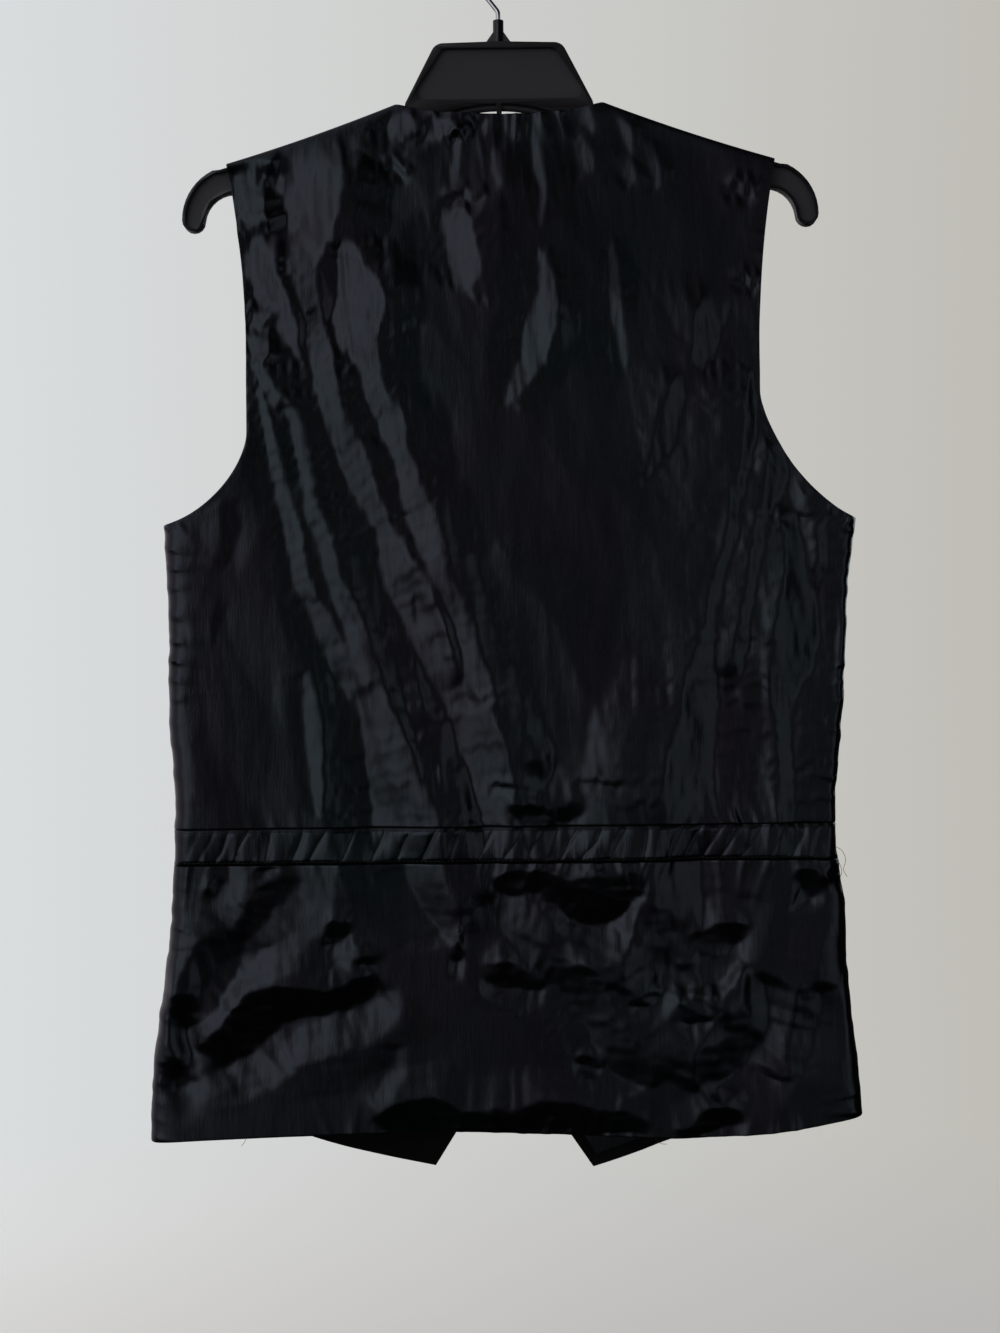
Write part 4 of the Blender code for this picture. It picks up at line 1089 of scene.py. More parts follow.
class Finish:
    """A node material with a Principled shader, built up step by step in the object's own coordinates."""

    def __init__(self, name, colour, roughness, metallic=0.0, sheen=0.0):
        self.material = bpy.data.materials.new(name)
        self.material.use_nodes = True
        self.tree = self.material.node_tree
        self.shader = self.tree.nodes["Principled BSDF"]
        self.shade("Base Color", (*colour, 1.0))
        self.shade("Roughness", roughness)
        self.shade("Metallic", metallic)
        self.shade("Sheen Weight", sheen)
        coordinates = self.tree.nodes.new("ShaderNodeTexCoord")
        self.place = coordinates.outputs["Object"]
        self.normals = coordinates.outputs["Normal"]
        self.normal = None

    def set_input(self, node, name, value):
        """Sets a node's input, known by its name or its number, or links it to another node."""
        if isinstance(value, bpy.types.NodeSocket):
            self.tree.links.new(value, node.inputs[name])
        else:
            node.inputs[name].default_value = value

    def shade(self, name, value):
        self.set_input(self.shader, name, value)

    def add(self, kind, **inputs):
        node = self.tree.nodes.new(kind)
        for name, value in inputs.items():
            self.set_input(node, name.replace("_", " "), value)
        return node

    def stretched(self, scale, turn):
        """Coordinates scaled alike, or by its own number along each axis, and turned about Y."""
        node = self.add("ShaderNodeMapping", Vector=self.place)
        node.inputs["Scale"].default_value = scale if isinstance(scale, tuple) else (scale,) * 3
        node.inputs["Rotation"].default_value = (0.0, math.radians(turn), 0.0)
        return node.outputs["Vector"]

    def grain(self, scale, turn=0.0, detail=2.0, roughness=0.5):
        """Noise with features as long as 1 / scale, in metres."""
        place = self.stretched(scale, turn)
        node = self.add("ShaderNodeTexNoise", Vector=place, Scale=1.0, Detail=detail, Roughness=roughness)
        return node.outputs["Fac"]

    def bands(self, axis, pitch, turn=0.0):
        """Even ridges a pitch apart, in metres, across an axis."""
        place = self.stretched(1.0, turn)
        node = self.add("ShaderNodeTexWave", Vector=place, Scale=BAND_LENGTH / pitch)
        node.bands_direction = axis
        return node.outputs["Fac"]

    def combine(self, operation, first, second=0.0):
        node = self.add("ShaderNodeMath")
        node.operation = operation
        self.set_input(node, 0, first)
        self.set_input(node, 1, second)
        return node.outputs["Value"]

    def part(self, vector, axis):
        return self.add("ShaderNodeSeparateXYZ", Vector=vector).outputs[axis]

    def ramp(self, value, start, end, low, high):
        return ramp(self.tree, value, start, end, low, high)

    def between(self, grain, low, high):
        """A value that runs from low to high with a grain, which keeps mostly to its middle."""
        return self.ramp(grain, 0.3, 0.7, low, high)

    def tint(self, factor, first, second):
        return mixed(self.tree, factor, first, second)

    def raise_by(self, height, millimetres, strength=1.0):
        """Adds relief of a real height to the normal."""
        node = self.add("ShaderNodeBump", Height=height, Strength=strength, Distance=millimetres * MM)
        if self.normal is not None:
            self.tree.links.new(self.normal, node.inputs["Normal"])
        self.normal = node.outputs["Normal"]
        self.tree.links.new(self.normal, self.shader.inputs["Normal"])


def hairs(cloth, wear, across, up, turn):
    """Sparse hairline creases, where a drawn-out grain crosses its middle value and the cloth is worn."""
    grain = cloth.grain((across, across, up), turn)
    off = cloth.combine("ABSOLUTE", cloth.combine("SUBTRACT", grain, 0.5))
    return cloth.combine("MULTIPLY", cloth.ramp(off, 0.0, HAIR_WIDTH, 1.0, 0.0), wear)


def taffeta(name, turn=0.0):
    """Shiny plain-woven lining cloth, shot with two hues, with threads, creases and an uneven lustre."""
    cloth = Finish(name, (0.003, 0.003, 0.004), 0.3, sheen=0.01)
    lustre = cloth.grain((13.0, 16.0, 8.0), turn, 3.0)
    hue = cloth.between(cloth.grain((12.0, 12.0, 8.0), turn + 14.0, 4.0), 0.0, 1.0)
    wear = cloth.between(cloth.grain((17.0, 17.0, 13.0)), -0.6, 1.0)
    slubs = cloth.grain((55.0, 200.0, 900.0), turn)
    warp = cloth.grain((700.0, 200.0, 40.0), turn)
    crinkle = cloth.grain((170.0, 150.0, 42.0), turn + 8.0, 4.0, 0.6)
    strands = cloth.grain((380.0, 300.0, 48.0), turn + 9.0, 3.0, 0.6)
    warp_ribs = cloth.bands("X", TAFFETA_WEAVE, turn)
    weave = cloth.combine("MULTIPLY", warp_ribs, cloth.bands("Z", TAFFETA_WEAVE, turn))
    cloth.shade("Specular Tint", cloth.tint(hue, *TAFFETA_SHEENS))
    cloth.shade("Base Color", cloth.tint(hue, *TAFFETA_HUES))
    cloth.shade("Roughness", cloth.between(lustre, 0.13, 0.23))
    cloth.raise_by(crinkle, 0.16)
    cloth.raise_by(strands, 0.11)
    cloth.raise_by(slubs, 0.006)
    cloth.raise_by(warp, 0.03)
    cloth.raise_by(hairs(cloth, wear, 75.0, 17.0, turn + 22.0), HAIR_DEPTH)
    cloth.raise_by(hairs(cloth, wear, 60.0, 14.0, turn - 27.0), HAIR_DEPTH)
    cloth.raise_by(weave, 0.03)
    return cloth.material


def suiting(name):
    """Matte worsted: slanting twill ribs, a little fuzz and wear, and painted shade on its inner face, -Y."""
    cloth = Finish(name, (0.012, 0.012, 0.014), 0.88, sheen=0.04)
    mottle = cloth.grain(40.0, detail=4.0)
    fuzz = cloth.grain(1800.0)
    twill = cloth.bands("X", TWILL_PITCH, TWILL_SLANT)
    # Painted shade: faces turned to -Y are darkened as if in shadow, on top of the cloth's own mottled tone
    outer = cloth.ramp(cloth.part(cloth.normals, "Y"), -0.3, 0.3, INNER_FACE_PAINTED_SHADE, 1.0)
    tone_and_painted_shade = cloth.combine("MULTIPLY", cloth.between(mottle, 0.78, 1.0), outer)
    cloth.shade("Base Color", cloth.tint(tone_and_painted_shade, (0.0, 0.0, 0.0), SUITING_COLOUR))
    cloth.shade("Specular IOR Level", SUITING_GLOSS)
    cloth.shade("Roughness", cloth.between(mottle, 0.82, 0.94))
    cloth.raise_by(mottle, 0.15, 0.5)
    cloth.raise_by(twill, 0.08)
    cloth.raise_by(fuzz, 0.05)
    return cloth.material


def thread(name):
    """Twisted sewing thread."""
    strand = Finish(name, (0.008, 0.008, 0.010), 0.45, sheen=0.1)
    strand.raise_by(strand.bands("DIAGONAL", THREAD_PLY), 0.06)
    return strand.material


def moulded(name, roughness, colour, scuffs):
    """Moulded plastic with a faint grain, a cooling ripple and light scuffs."""
    plastic = Finish(name, colour, roughness)
    scuff = plastic.grain((60.0, 60.0, 420.0), 24.0, 5.0, 0.7)
    lighter = tuple(value * MOULDED_LIGHTER for value in colour)
    plastic.shade("Base Color", plastic.tint(scuff, colour, lighter))
    plastic.shade("Roughness", plastic.between(scuff, roughness - scuffs, roughness + scuffs))
    plastic.raise_by(plastic.grain(28.0), 0.12)
    plastic.raise_by(plastic.grain(900.0), 0.012)
    return plastic.material


def hanger_moulding(name):
    """Black moulded plastic: glossy rims, and duller recesses whose lighter colour is partly painted sheen.
    """
    plastic = Finish(name, RIM_COLOUR, RIM_ROUGHNESS)
    wear = plastic.grain((90.0, 90.0, 130.0), 24.0, 4.0)
    depth = plastic.combine("ABSOLUTE", plastic.part(plastic.place, "Y"))
    # The recess faces are rougher, and lighter in colour partly as painted sheen
    satin_and_painted_sheen = plastic.ramp(depth, RECESS_DEPTH * MM, RIM_DEPTH * MM, 1.0, 0.0)
    rough = plastic.ramp(satin_and_painted_sheen, 0.0, 1.0, RIM_ROUGHNESS, RECESS_ROUGHNESS)
    plastic.shade("Base Color", plastic.tint(satin_and_painted_sheen, RIM_COLOUR, RECESS_COLOUR_AND_PAINTED_SHEEN))
    plastic.shade("Roughness", plastic.combine("ADD", rough, plastic.between(wear, -0.05, 0.05)))
    plastic.raise_by(plastic.grain(28.0), 0.08)
    plastic.raise_by(plastic.grain(1100.0), 0.02)
    return plastic.material


def plated(name):
    """Chrome plating with faint drawing lines along the wire."""
    metal = Finish(name, (0.76, 0.76, 0.78), 0.12, metallic=1.0)
    lines = metal.grain((2600.0, 2600.0, 160.0))
    metal.shade("Roughness", metal.between(lines, 0.08, 0.2))
    metal.raise_by(lines, 0.01)
    return metal.material


# ---------------------------------------------------------------- cloth pieces


def across_back(bottom, top, columns, rows):
    """x and z of a panel that runs from side seam to side seam."""
    return panel(side_seam(-1), side_seam(1), bottom, top, columns, rows)


def back_top(x):
    """Height of the back's top edge: the shoulders, with the neck line between them."""
    over_neck = np.abs(x) < NECK_POINT_X
    return np.where(over_neck, level_line(BACK_NECK)(x), shoulder_line(x))


def back_upper_grid():
    columns = spread(*UPPER_COLUMNS)
    rows = spread(*UPPER_BODY_ROWS)
    body = across_back(flat(CASING_TOP + SEAM_GAP), flat(UNDERARM), columns, rows)
    rows = spread(*UPPER_YOKE_ROWS)
    return stacked(body, panel(armhole_edge(-1), armhole_edge(1), flat(UNDERARM), back_top, columns, rows))


def back_upper_drape(x, z):
    drawn_x, drawn_z = ragged(x, z, 11, STRONG_FEATHER)
    folds = folds_height(UPPER_FOLDS + UPPER_HOLLOWS, drawn_x, drawn_z)
    return (folds + creased(drawn_x, drawn_z, 21)) * away_from_edges(x, z)


def back_lower_drape(x, z):
    drawn_x, drawn_z = ragged(x, z, 51)
    drawn_z = layered(drawn_z, (LOWER_RIPPLE,), x, z, 57)
    folds = folds_height(LOWER_FOLDS + LOWER_HOLLOWS, drawn_x, drawn_z)
    return (folds + CREASES_ON_LOWER * creased(drawn_x, drawn_z, 61)) * away_from_edges(x, z)


def back_upper_relief(x, z):
    cloth = back_upper_drape(x, z)
    seams = side_puckers(x, z, 31)
    below_arm = ease((UNDERARM - z) / ARMHOLE_PUCKERS_OVER + 0.5)
    sides = seams * below_arm
    armholes = seams * (1.0 - below_arm) * ARMHOLE_PUCKERS
    in_neck = ease((NECK_POINT_X - np.abs(x)) / NECK_PUCKERS_FADE)
    neck = pucker(level_edge(x, z, -1), NECK_PUCKERS, 34) * in_neck
    band = pucker(level_edge(x, z, 0), UPPER_BAND_PUCKERS, 37)
    return cloth + sides + armholes + neck + band


def add_back_piece(node, x, z, relief, finish):
    piece = add_shell(f"{node}_cloth", x, z, -1, BACK_WALL, relief, finish)
    return dress(piece, "back_taffeta", node)


def add_back_upper(finish):
    x, z = back_upper_grid()
    return add_back_piece("back_upper", x, z, back_upper_relief(x, z), finish)


def puff_height(x, share):
    """Height of the puffs between the gathers, which lean to +X towards the top of the band."""
    lean = GATHER_SLANT * (1.0 + GATHER_SLANT_VARIES * noise(x / 31.0, 0.0 * x, 40))
    slanted = x + lean * (0.5 - share) + GATHER_STRAYS * noise(x / 14.0, share * 1.6, 41)
    lines = np.array(GATHERS, float)
    after = np.clip(np.searchsorted(lines, slanted), 1, len(lines) - 1)
    width = lines[after] - lines[after - 1]
    part = np.clip((slanted - lines[after - 1]) / width, 0.0, 1.0)
    chance = np.random.default_rng(43)
    size = chance.uniform(*PUFF_SIZES, len(lines))[after]
    skew = chance.uniform(*PUFF_SKEWS, len(lines))[after]
    puff = np.sin(math.pi * part**skew)
    full = np.minimum(width / PUFF_FULL_WIDTH, 1.0)
    return PUFF_HEIGHT * size * full * puff / (PUFF_FLATNESS + (1.0 - PUFF_FLATNESS) * puff)


def add_waist_casing(finish):
    rows = spread(*BAND_ROWS)
    x, z = across_back(flat(CASING_BOTTOM), flat(CASING_TOP), spread(*BAND_COLUMNS), rows)
    to_edge = np.minimum(z - CASING_BOTTOM, CASING_TOP - z)
    bulge = ease(to_edge / BAND_EDGE_WIDTH + BAND_EDGE_RISE)
    swell = BAND_EDGE_BULGE + (1.0 - BAND_EDGE_BULGE) * bulge
    relief = (BAND_BULGE + puff_height(x, rows[:, None])) * swell
    relief = relief + layered(0.0, (BAND_CRINKLE,), x, z, 45) * bulge
    share = (z - CASING_BOTTOM) / (CASING_TOP - CASING_BOTTOM)
    upper_drape = back_upper_drape(x, np.full_like(z, CASING_TOP))
    lower_drape = back_lower_drape(x, np.full_like(z, CASING_BOTTOM))
    relief = relief + lower_drape + (upper_drape - lower_drape) * share
    relief = relief + pucker(level_edge(x, z, -1), CASING_TOP_PUCKERS, 47)
    relief = relief + pucker(level_edge(x, z, 0), CASING_FOOT_PUCKERS, 49)
    relief = relief * seam_holds(side_edge(x, z, 0)) * seam_holds(side_edge(x, z, -1))
    return add_back_piece("waist_casing", x, z, relief, finish)


def add_back_lower(finish):
    top = flat(CASING_BOTTOM - SEAM_GAP)
    x, z = across_back(level_line(BACK_HEM), top, spread(*UPPER_COLUMNS), spread(*LOWER_ROWS))
    cloth = back_lower_drape(x, z)
    sides = side_puckers(x, z, 71)
    hem = pucker(level_edge(x, z, 0), HEM_PUCKERS, 75)
    band = pucker(level_edge(x, z, -1), LOWER_BAND_PUCKERS, 77)
    return add_back_piece("back_lower", x, z, cloth + sides + hem + band, finish)


def front_hem(sign):
    """The heights of a front's hem, with its point next to the middle."""
    return FRONT_HEM_LEFT if sign < 0 else FRONT_HEM_RIGHT


def front_point(sign):
    """x and height of a front's point."""
    return FRONT_HEM_LEFT[-1] if sign < 0 else FRONT_HEM_RIGHT[0]


def front_edge(sign):
    """x of a front's free edge: V neck, straight lapped edge, then the cutaway to the point."""
    point_x, point_height = front_point(sign)

    def edge(z):
        z = np.asarray(z, float)
        neck_share = np.clip((z - FRONT_V_BOTTOM) / (NECK_POINT_Z - FRONT_V_BOTTOM), 0.0, 1.0)
        cut_share = np.clip((CUTAWAY_TOP - z) / (CUTAWAY_TOP - point_height), 0.0, 1.0)
        neck = (NECK_POINT_X + FRONT_LAP) * neck_share + NECK_BOW * np.sin(math.pi * neck_share)
        cut = (abs(point_x) + FRONT_LAP) * cut_share**CUTAWAY_POWER
        cut = cut + CUTAWAY_BOW * np.sin(math.pi * cut_share)
        return sign * (-FRONT_LAP + neck + cut)

    return edge


def lap_lift(x, sign):
    """The left front passes outside the right one where they lap."""
    if sign > 0:
        return np.zeros_like(x)
    return LAP_LIFT * ease((x - LAP_LIFT_FROM) / LAP_LIFT_OVER)


def front_top(x):
    return np.where(np.abs(x) < NECK_POINT_X, NECK_POINT_Z, shoulder_line(x))


def front_skirt(sign, shares, rows):
    """x and z of a front below the underarm."""
    edges = (side_seam(sign), front_edge(sign))
    return panel(*edges[::-sign], level_line(front_hem(sign)), flat(UNDERARM), shares, rows)


def front_chest(sign, shares):
    """x and z of a front above the underarm."""
    edges = (armhole_edge(sign, -sign * FRONT_ARMHOLE_SHOWS), front_edge(sign))
    return panel(*edges[::-sign], flat(UNDERARM), front_top, shares, spread(*FRONT_CHEST_ROWS))


def front_relief(x, z, sign):
    drawn_x, drawn_z = ragged(x, z, 81 + sign)
    folds = folds_height(FRONT_FOLDS, drawn_x, drawn_z)
    firm = ease((np.abs(x) - BUTTON_STAND_HALF) / BUTTON_STAND_EASE)
    cloth = (folds + CREASES_ON_FRONT * creased(x, z, 91 + sign) * firm) * away_from_edges(x, z)
    return cloth + lap_lift(x, sign)


def add_front(node, sign, finish):
    shares = spread(*FRONT_COLUMNS)
    skirt = front_skirt(sign, shares, spread(*FRONT_SKIRT_ROWS))
    x, z = stacked(skirt, front_chest(sign, shares))
    piece = add_shell(f"{node}_cloth", x, z, 1, FRONT_WALL, front_relief(x, z, sign), finish)
    return dress(piece, "front_suiting", node)


def add_lining(finish):
    """The lining inside the right front's point, its border left free as a facing."""
    shares = np.linspace(FACING_SHARE, LINING_SHARE, LINING_COLUMNS)
    x, z = front_skirt(1, shares, np.linspace(FACING_ROW, LINING_ROW, LINING_ROWS))
    start = FRONT_WALL + SEAM_GAP
    dents = layered(1.0, (LINING_DENTS,), x, z, 95)
    relief = front_relief(x, z, 1) - LINING_SINKS * dents * ease(border(x, z) / LINING_SINKS_FROM)
    piece = add_shell("lining_right_cloth", x, z, 1, LINING_WALL + start, relief, finish, start)
    return dress(piece, "lining_taffeta", "lining_right")


# ---------------------------------------------------------------- sewing


def walk(line, pitch):
    """Places a pitch apart along a line of x and z, as rows."""
    line = np.asarray(line, float)
    length = np.concatenate([[0.0], np.cumsum(np.hypot(*np.diff(line, axis=0).T))])
    at = np.arange(0.5 * pitch, length[-1], pitch)
    return np.stack([np.interp(at, length, line[:, axis]) for axis in range(2)], axis=1)


def stitched(line, piece, side, stitch, seed):
    """Shapes of single stitches along a line of x and z, seated on a piece's outer face."""
    tree = seat_tree(piece)
    chance = np.random.default_rng(seed)
    lifts = (-0.5 * stitch.radius, stitch.lift, -0.5 * stitch.radius)
    shapes = []
    places = walk(line, stitch.pitch)
    for place, run in zip(places, np.diff(places, axis=0)):
        run = run / np.hypot(*run) * stitch.length * chance.uniform(*STITCH_LENGTHS)
        stray = chance.uniform(-STITCH_STRAYS, STITCH_STRAYS)
        across = np.array([-run[1], run[0]]) / stitch.length * stray
        spots = [place + run * share + across for share in (0.0, 0.5, 1.0)]
        points = [seat(tree, *spot, side, lift) for spot, lift in zip(spots, lifts)]
        if all(point is not None for point in points):
            shapes.append(tube(points, stitch.radius, sides=6, domes=1))
    return shapes


def add_casing_stitches(casing, finish):
    """A line of stitches along the top of the gathered band and one along its folded lower edge."""
    reach = np.linspace(-CASING_STITCHES_REACH, CASING_STITCHES_REACH, 300)
    shapes = []
    for height, seed in ((CASING_TOP - CASING_STITCH_INSET, 101), (CASING_BOTTOM + CASING_STITCH_INSET, 102)):
        line = np.stack([reach, np.full_like(reach, height)], axis=1)
        shapes += stitched(line, casing, -1, CASING_STITCH, seed)
    return add_strands("casing_stitches", shapes, "back_taffeta", finish)


def front_border(sign, inset):
    """A line inside a front's free edge: down the V neck, lapped edge and cutaway, then along the hem."""
    low = front_point(sign)[1] + FRONT_STITCHES_CORNER * inset
    heights = np.linspace(NECK_POINT_Z - FRONT_STITCHES_DROP, low, 260)
    down = np.stack([front_edge(sign)(heights) + sign * inset, heights], axis=1)
    reach = np.linspace(down[-1, 0], sign * FRONT_STITCHES_REACH, 90)[1:]
    hem = level_line(front_hem(sign))(reach) + inset
    return np.concatenate([down, np.stack([reach, hem], axis=1)])


def add_front_stitches(name, sign, front, finish):
    shapes = stitched(front_border(sign, FRONT_STITCH_INSET), front, 1, FRONT_STITCH, 105 + sign)
    return add_strands(name, shapes, "front_suiting", finish)


def add_buttonholes(front, finish):
    """Purled slits beside the buttons, each closed by a bar at its inner end."""
    tree = seat_tree(front)
    x = np.arange(BUTTONHOLE_FROM, BUTTONHOLE_TO, -PURL_STEP)
    purl = PURL_RADIUS + PURL_SWELL * np.cos(2.0 * math.pi * x / PURL_PITCH)
    rises = np.linspace(-BAR_HALF, BAR_HALF, 7)
    shapes = []
    for height in BUTTON_HEIGHTS:
        for edge in (height - BUTTONHOLE_HALF, height + BUTTONHOLE_HALF):
            shapes.append(tube([seat(tree, at, edge, 1, PURL_LIFT) for at in x], purl))
        for bar in range(BARS):
            at = BUTTONHOLE_TO - BAR_FROM - BAR_PITCH * bar
            shapes.append(tube([seat(tree, at, height + rise, 1, BAR_LIFT) for rise in rises], BAR_RADIUS))
    return add_strands("buttonholes", shapes, "front_suiting", finish)


def curl(start, *steps):
    """A smooth strand of thread from a point, through steps from it."""
    knots = np.array([start] + [tuple(np.add(start, step)) for step in steps], float)
    share = np.linspace(0.0, 1.0, len(knots))
    fine = np.linspace(0.0, 1.0, 28)
    return np.stack([through(share, knots[:, axis], fine) for axis in range(3)], axis=1)


def add_loose_threads(finish):
    """Short thread ends left at the band's right end and along the hem."""
    shapes = [tube(curl(*points), LOOSE_THREAD_RADIUS, sides=6, domes=1) for points in LOOSE_THREADS]
    return add_strands("loose_threads", shapes, "back_taffeta", finish)


# ---------------------------------------------------------------- buttons


def carved(thing, points, faces):
    """Cuts a shape out of a piece for good."""
    tool = add_mesh("tool", points, faces, thing.data.materials[0])
    step = thing.modifiers.new("carve", "BOOLEAN")
    step.operation = "DIFFERENCE"
    step.object = tool
    shape = bpy.data.meshes.new_from_object(thing.evaluated_get(bpy.context.evaluated_depsgraph_get()))
    thing.modifiers.remove(step)
    thing.data = shape
    bpy.data.objects.remove(tool)
    shape.shade_smooth()
    shape.set_sharp_from_angle(angle=math.radians(BUTTON_SHARP_FROM))


def button_place(name):
    """x and z of a button's middle with y of its back, in millimetres."""
    low, high = (np.array(corner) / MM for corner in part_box(name))
    middle = (low + high) / 2.0
    return middle[0], low[1], middle[2]


def button_profile():
    """Radius and height of a button's section, from its back's middle round to its dished face."""
    rim = []
    for step in range(13):
        turn = math.radians(-80.0 + 20.0 * step)
        squeeze = 1.0 if turn < math.radians(90.0) else BUTTON_RIM_SQUEEZE
        radius = BUTTON_RIM_RADIUS + BUTTON_RIM_ROUND * math.cos(turn) * squeeze
        rim.append((radius, BUTTON_RIM_HEIGHT + BUTTON_RIM_ROUND * math.sin(turn)))
    return [*BUTTON_BACK, *rim, *BUTTON_DISH]


def add_button(name, finish):
    """A turned four-hole button with a raised rim."""
    x, y, z = button_place(name)
    sides = BUTTON_SIDES
    rings = button_profile()
    points = [(x, y + rings[0][1], z)]
    for radius, out in rings:
        points += [(x + across, y + out, z + up) for across, up in circle(radius, sides)]
    points.append((x, y + BUTTON_DISH_MIDDLE, z))
    last = 1 + (len(rings) - 1) * sides
    faces = [[0, 1 + step, 1 + (step + 1) % sides] for step in range(sides)]
    for ring in range(len(rings) - 1):
        for step in range(sides):
            here = 1 + ring * sides + step
            beside = 1 + ring * sides + (step + 1) % sides
            faces.append([here, here + sides, beside + sides, beside])
    faces += [[last + (step + 1) % sides, last + step, len(points) - 1] for step in range(sides)]
    button = add_mesh(f"{name}_turned", points, faces, finish)
    holes = []
    for across, up in HOLES:
        line = [(x + across, y + out, z + up) for out in HOLE_DEPTHS]
        holes.append(tube(line, HOLE_RADIUS, sides=20, domes=1))
    carved(button, *joined(holes))
    return dress(button, "button_plastic", name)


def crossed_thread(place, first, last, shift):
    """One strand over a button's face, from hole to hole."""
    x, y, z = place
    run_x = last[0] - first[0]
    run_z = last[1] - first[1]
    aside = shift if run_x * run_z < 0.0 else -shift
    line = []
    for share in np.linspace(0.0, 1.0, 15):
        over = CROSS_HEIGHT + CROSS_RISE * math.sin(math.pi * share) ** 0.5
        line.append((x + first[0] + run_x * share + aside, y + over, z + first[1] + run_z * share + shift))
    return tube(line, CROSS_RADIUS)


def add_button_threads(finish):
    """Thread crossed over each button's holes, and the shank that holds it to the cloth."""
    shapes = []
    for number in range(1, len(BUTTON_HEIGHTS) + 1):
        place = button_place(f"button_{number}")
        for first, last in (HOLES[::2], HOLES[1::2]):
            shapes += [crossed_thread(place, first, last, shift) for shift in CROSS_SHIFTS]
        x, y, z = place
        for across, up in circle(SHANK_SPREAD, 4):
            line = [(x + across, y + out, z + up) for out in SHANK_HEIGHTS]
            shapes.append(tube(line, SHANK_RADIUS, domes=1))
    return add_strands("button_threads", shapes, "button_plastic", finish)


# ---------------------------------------------------------------- hanger


def add_hanger_body(finish):
    """The hanger's solid with its flat faces whole again, its plate's recess drawn down to the arch and its
    edges softened."""
    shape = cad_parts["hanger_body"].data.copy()
    shape.name = "hanger_moulding"
    work = bmesh.new()
    work.from_mesh(shape)
    for corner in work.verts:
        if abs(corner.co.x) < PANEL_HALF * MM and PANEL_FOOT * MM < corner.co.z < PANEL_MIDDLE * MM:
            corner.co.x *= PANEL_SPREADS
            corner.co.z -= PANEL_DROPS * MM
    bmesh.ops.remove_doubles(work, verts=work.verts, dist=1e-6)
    flat_within = math.radians(HANGER_FLAT_WITHIN)
    bmesh.ops.dissolve_limit(work, angle_limit=flat_within, verts=work.verts, edges=work.edges)
    work.to_mesh(shape)
    work.free()
    shape.materials.clear()
    shape.materials.append(finish)
    shape.shade_smooth()
    hanger = linked("hanger_moulding", shape)
    soften = hanger.modifiers.new("Soft edges", "BEVEL")
    soften.width = HANGER_EDGE * MM
    soften.segments = 3
    soften.limit_method = "ANGLE"
    soften.angle_limit = math.radians(HANGER_EDGE_FROM)
    soften.harden_normals = True
    return dress(hanger, "hanger_plastic", "hanger_body")


def add_hanger_lip(finish):
    """The rolled lip along the arch below the hanger's plate."""
    reach = np.linspace(-ARCH_HALF, ARCH_HALF, 41)
    line = [(x, 0.0, ARCH_TOP - ARCH_FALL * (x / ARCH_HALF) ** 2) for x in reach]
    return dress(add_mesh("hanger_lip", *tube(line, ARCH_LIP, sides=16), finish), "hanger_plastic")


def hook_line():
    """The wire's centre line: stem, bend, straight run, then the round crook to its tip."""
    lean = math.radians(HOOK_LEAN)
    tangent = HOOK_BEND_RADIUS * math.tan(lean / 2.0)
    line = [(0.0, 0.0, HOOK_FOOT_Z)]
    for turn in np.linspace(0.0, lean, 12):
        x = -HOOK_BEND_RADIUS * (1.0 - math.cos(turn))
        line.append((x, 0.0, HOOK_BEND_Z - tangent + HOOK_BEND_RADIUS * math.sin(turn)))
    for turn in np.radians(np.linspace(180.0 + HOOK_LEAN, HOOK_TIP_ANGLE, 90)):
        line.append((HOOK_RADIUS * math.cos(turn), 0.0, HOOK_CENTRE_Z + HOOK_RADIUS * math.sin(turn)))
    return line


def add_hook(finish):
    points, faces = tube(hook_line(), WIRE_RADIUS, sides=28, domes=6)
    return dress(add_mesh("hook_wire", points, faces, finish), "hook_chrome", "hanger_hook")


# ---------------------------------------------------------------- studio


def add_floor():
    """A pale floor that fades out with distance. It glows a little, and casts no light on the cloth."""
    floor = Finish("floor", FLOOR_COLOUR, 0.9)
    lighter = tuple(value * FLOOR_LIGHTER for value in FLOOR_COLOUR)
    colour = floor.tint(floor.grain(6.0, detail=3.0), FLOOR_COLOUR, lighter)
    floor.shade("Base Color", colour)
    floor.shade("Emission Color", colour)
    floor.shade("Emission Strength", FLOOR_GLOW)
    distance = floor.add("ShaderNodeVectorMath")
    distance.operation = "LENGTH"
    floor.set_input(distance, 0, floor.place)
    fade = floor.ramp(distance.outputs["Value"], FLOOR_FADES_FROM * MM, FLOOR_RADIUS * MM, 1.0, 0.0)
    floor.shade("Alpha", fade)
    sides = 96
    points = [(0.0, 0.0, 0.0)] + [(x, y, 0.0) for x, y in circle(FLOOR_RADIUS, sides)]
    faces = [[0, 1 + step, 1 + (step + 1) % sides] for step in range(sides)]
    disc = add_mesh("floor", points, faces, floor.material)
    disc.location.z = FLOOR_Z * MM
    disc.visible_diffuse = False
    disc.visible_glossy = False


def add_lamps():
    """Soft rectangular lamps, all turned to the garment's middle."""
    middle = Vector(CAMERA_AIM) * MM
    for lamp in LAMPS:
        light = bpy.data.lights.new(lamp.name, "AREA")
        light.shape = "RECTANGLE"
        light.size = lamp.width * MM
        light.size_y = lamp.height * MM
        light.energy = lamp.watts
        light.color = lamp.colour
        thing = linked(lamp.name, light)
        thing.location = Vector((lamp.x, lamp.y, lamp.z)) * MM
        thing.rotation_euler = (middle - thing.location).to_track_quat("-Z", "Y").to_euler()
        thing.visible_camera = False
        thing.visible_glossy = lamp.mirrored


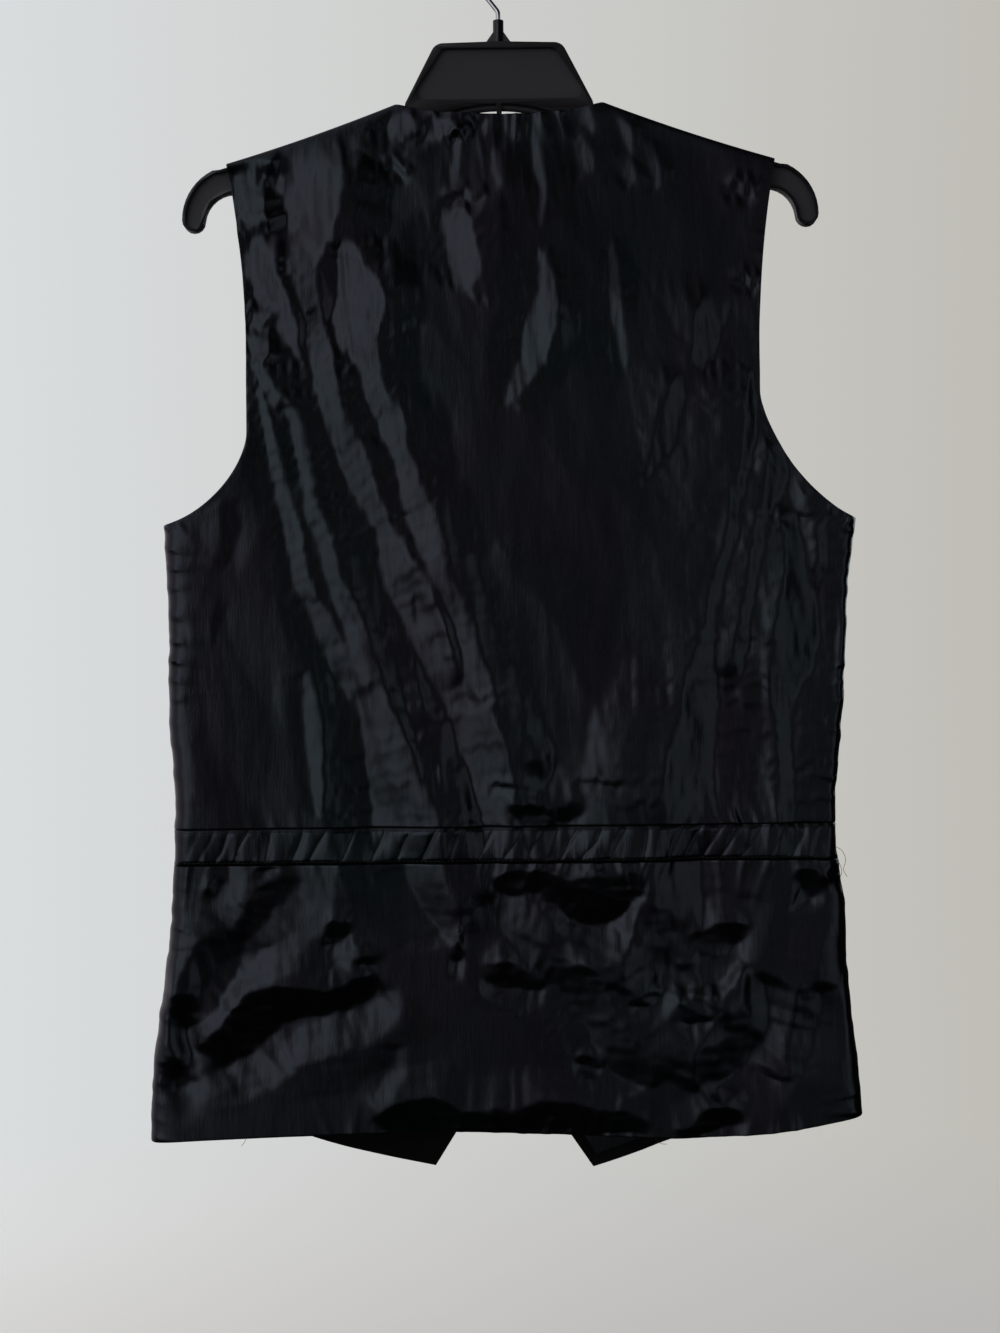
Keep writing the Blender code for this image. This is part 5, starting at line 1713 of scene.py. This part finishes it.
def add_world():
    """A pale backdrop for the camera, painted lighter on the window's side as if lit from there. The room
    that
    the cloth reflects is dim: less so on its window's side, and darkest low down."""
    world = bpy.data.worlds.new("studio")
    bpy.context.scene.world = world
    world.use_nodes = True
    tree = world.node_tree
    direction = tree.nodes.new("ShaderNodeTexCoord").outputs["Generated"]
    parts = tree.nodes.new("ShaderNodeSeparateXYZ")
    tree.links.new(direction, parts.inputs["Vector"])
    backdrop = tree.nodes["Background"]
    wall_across = ramp(tree, parts.outputs["X"], *BACKDROP_TURNS, 0.0, 1.0)
    tree.links.new(mixed(tree, wall_across, BACKDROP_LEFT, BACKDROP_RIGHT), backdrop.inputs["Color"])
    room = tree.nodes.new("ShaderNodeBackground")
    room_across = ramp(tree, parts.outputs["X"], *ROOM_TURNS, 0.0, 1.0)
    tree.links.new(mixed(tree, room_across, ROOM_LEFT, ROOM_RIGHT), room.inputs["Color"])
    height = ramp(tree, parts.outputs["Z"], *ROOM_DARKENS, ROOM_DARKEST, 1.0)
    tree.links.new(height, room.inputs["Strength"])
    path = tree.nodes.new("ShaderNodeLightPath")
    mix = tree.nodes.new("ShaderNodeMixShader")
    tree.links.new(path.outputs["Is Camera Ray"], mix.inputs[0])
    tree.links.new(room.outputs["Background"], mix.inputs[1])
    tree.links.new(backdrop.outputs["Background"], mix.inputs[2])
    tree.links.new(mix.outputs["Shader"], tree.nodes["World Output"].inputs["Surface"])


def add_camera():
    data = bpy.data.cameras.new("camera")
    data.sensor_width = SENSOR
    data.lens = SENSOR * CAMERA_DISTANCE / FRAME_HEIGHT
    data.clip_end = CAMERA_SEES * MM
    camera = linked("camera", data)
    camera.location = (Vector(CAMERA_AIM) - Vector((0.0, CAMERA_DISTANCE, 0.0))) * MM
    camera.rotation_euler = (math.radians(90.0), math.radians(CAMERA_ROLL), 0.0)
    bpy.context.scene.camera = camera
    bpy.context.scene.view_settings.view_transform = "Standard"


# ---------------------------------------------------------------- the whole


def build():
    back_taffeta = taffeta("back_taffeta")
    lining_taffeta = taffeta("lining_taffeta", 90.0)
    cloth = suiting("front_suiting")
    black_thread = thread("black_thread")
    upper = add_back_upper(back_taffeta)
    casing = add_waist_casing(back_taffeta)
    lower = add_back_lower(back_taffeta)
    left = add_front("front_left", -1, cloth)
    right = add_front("front_right", 1, cloth)
    lining = add_lining(lining_taffeta)
    add_casing_stitches(casing, black_thread)
    add_front_stitches("front_left_stitches", -1, left, black_thread)
    add_front_stitches("front_right_stitches", 1, right, black_thread)
    add_buttonholes(left, black_thread)
    add_loose_threads(black_thread)
    button_plastic = moulded("button_plastic", 0.24, (0.009, 0.009, 0.010), 0.06)
    for number in range(1, len(BUTTON_HEIGHTS) + 1):
        add_button(f"button_{number}", button_plastic)
    add_button_threads(black_thread)
    hanger_plastic = hanger_moulding("hanger_plastic")
    add_hanger_body(hanger_plastic)
    add_hanger_lip(hanger_plastic)
    add_hook(plated("hook_chrome"))


build()
add_floor()
add_lamps()
add_world()
add_camera()
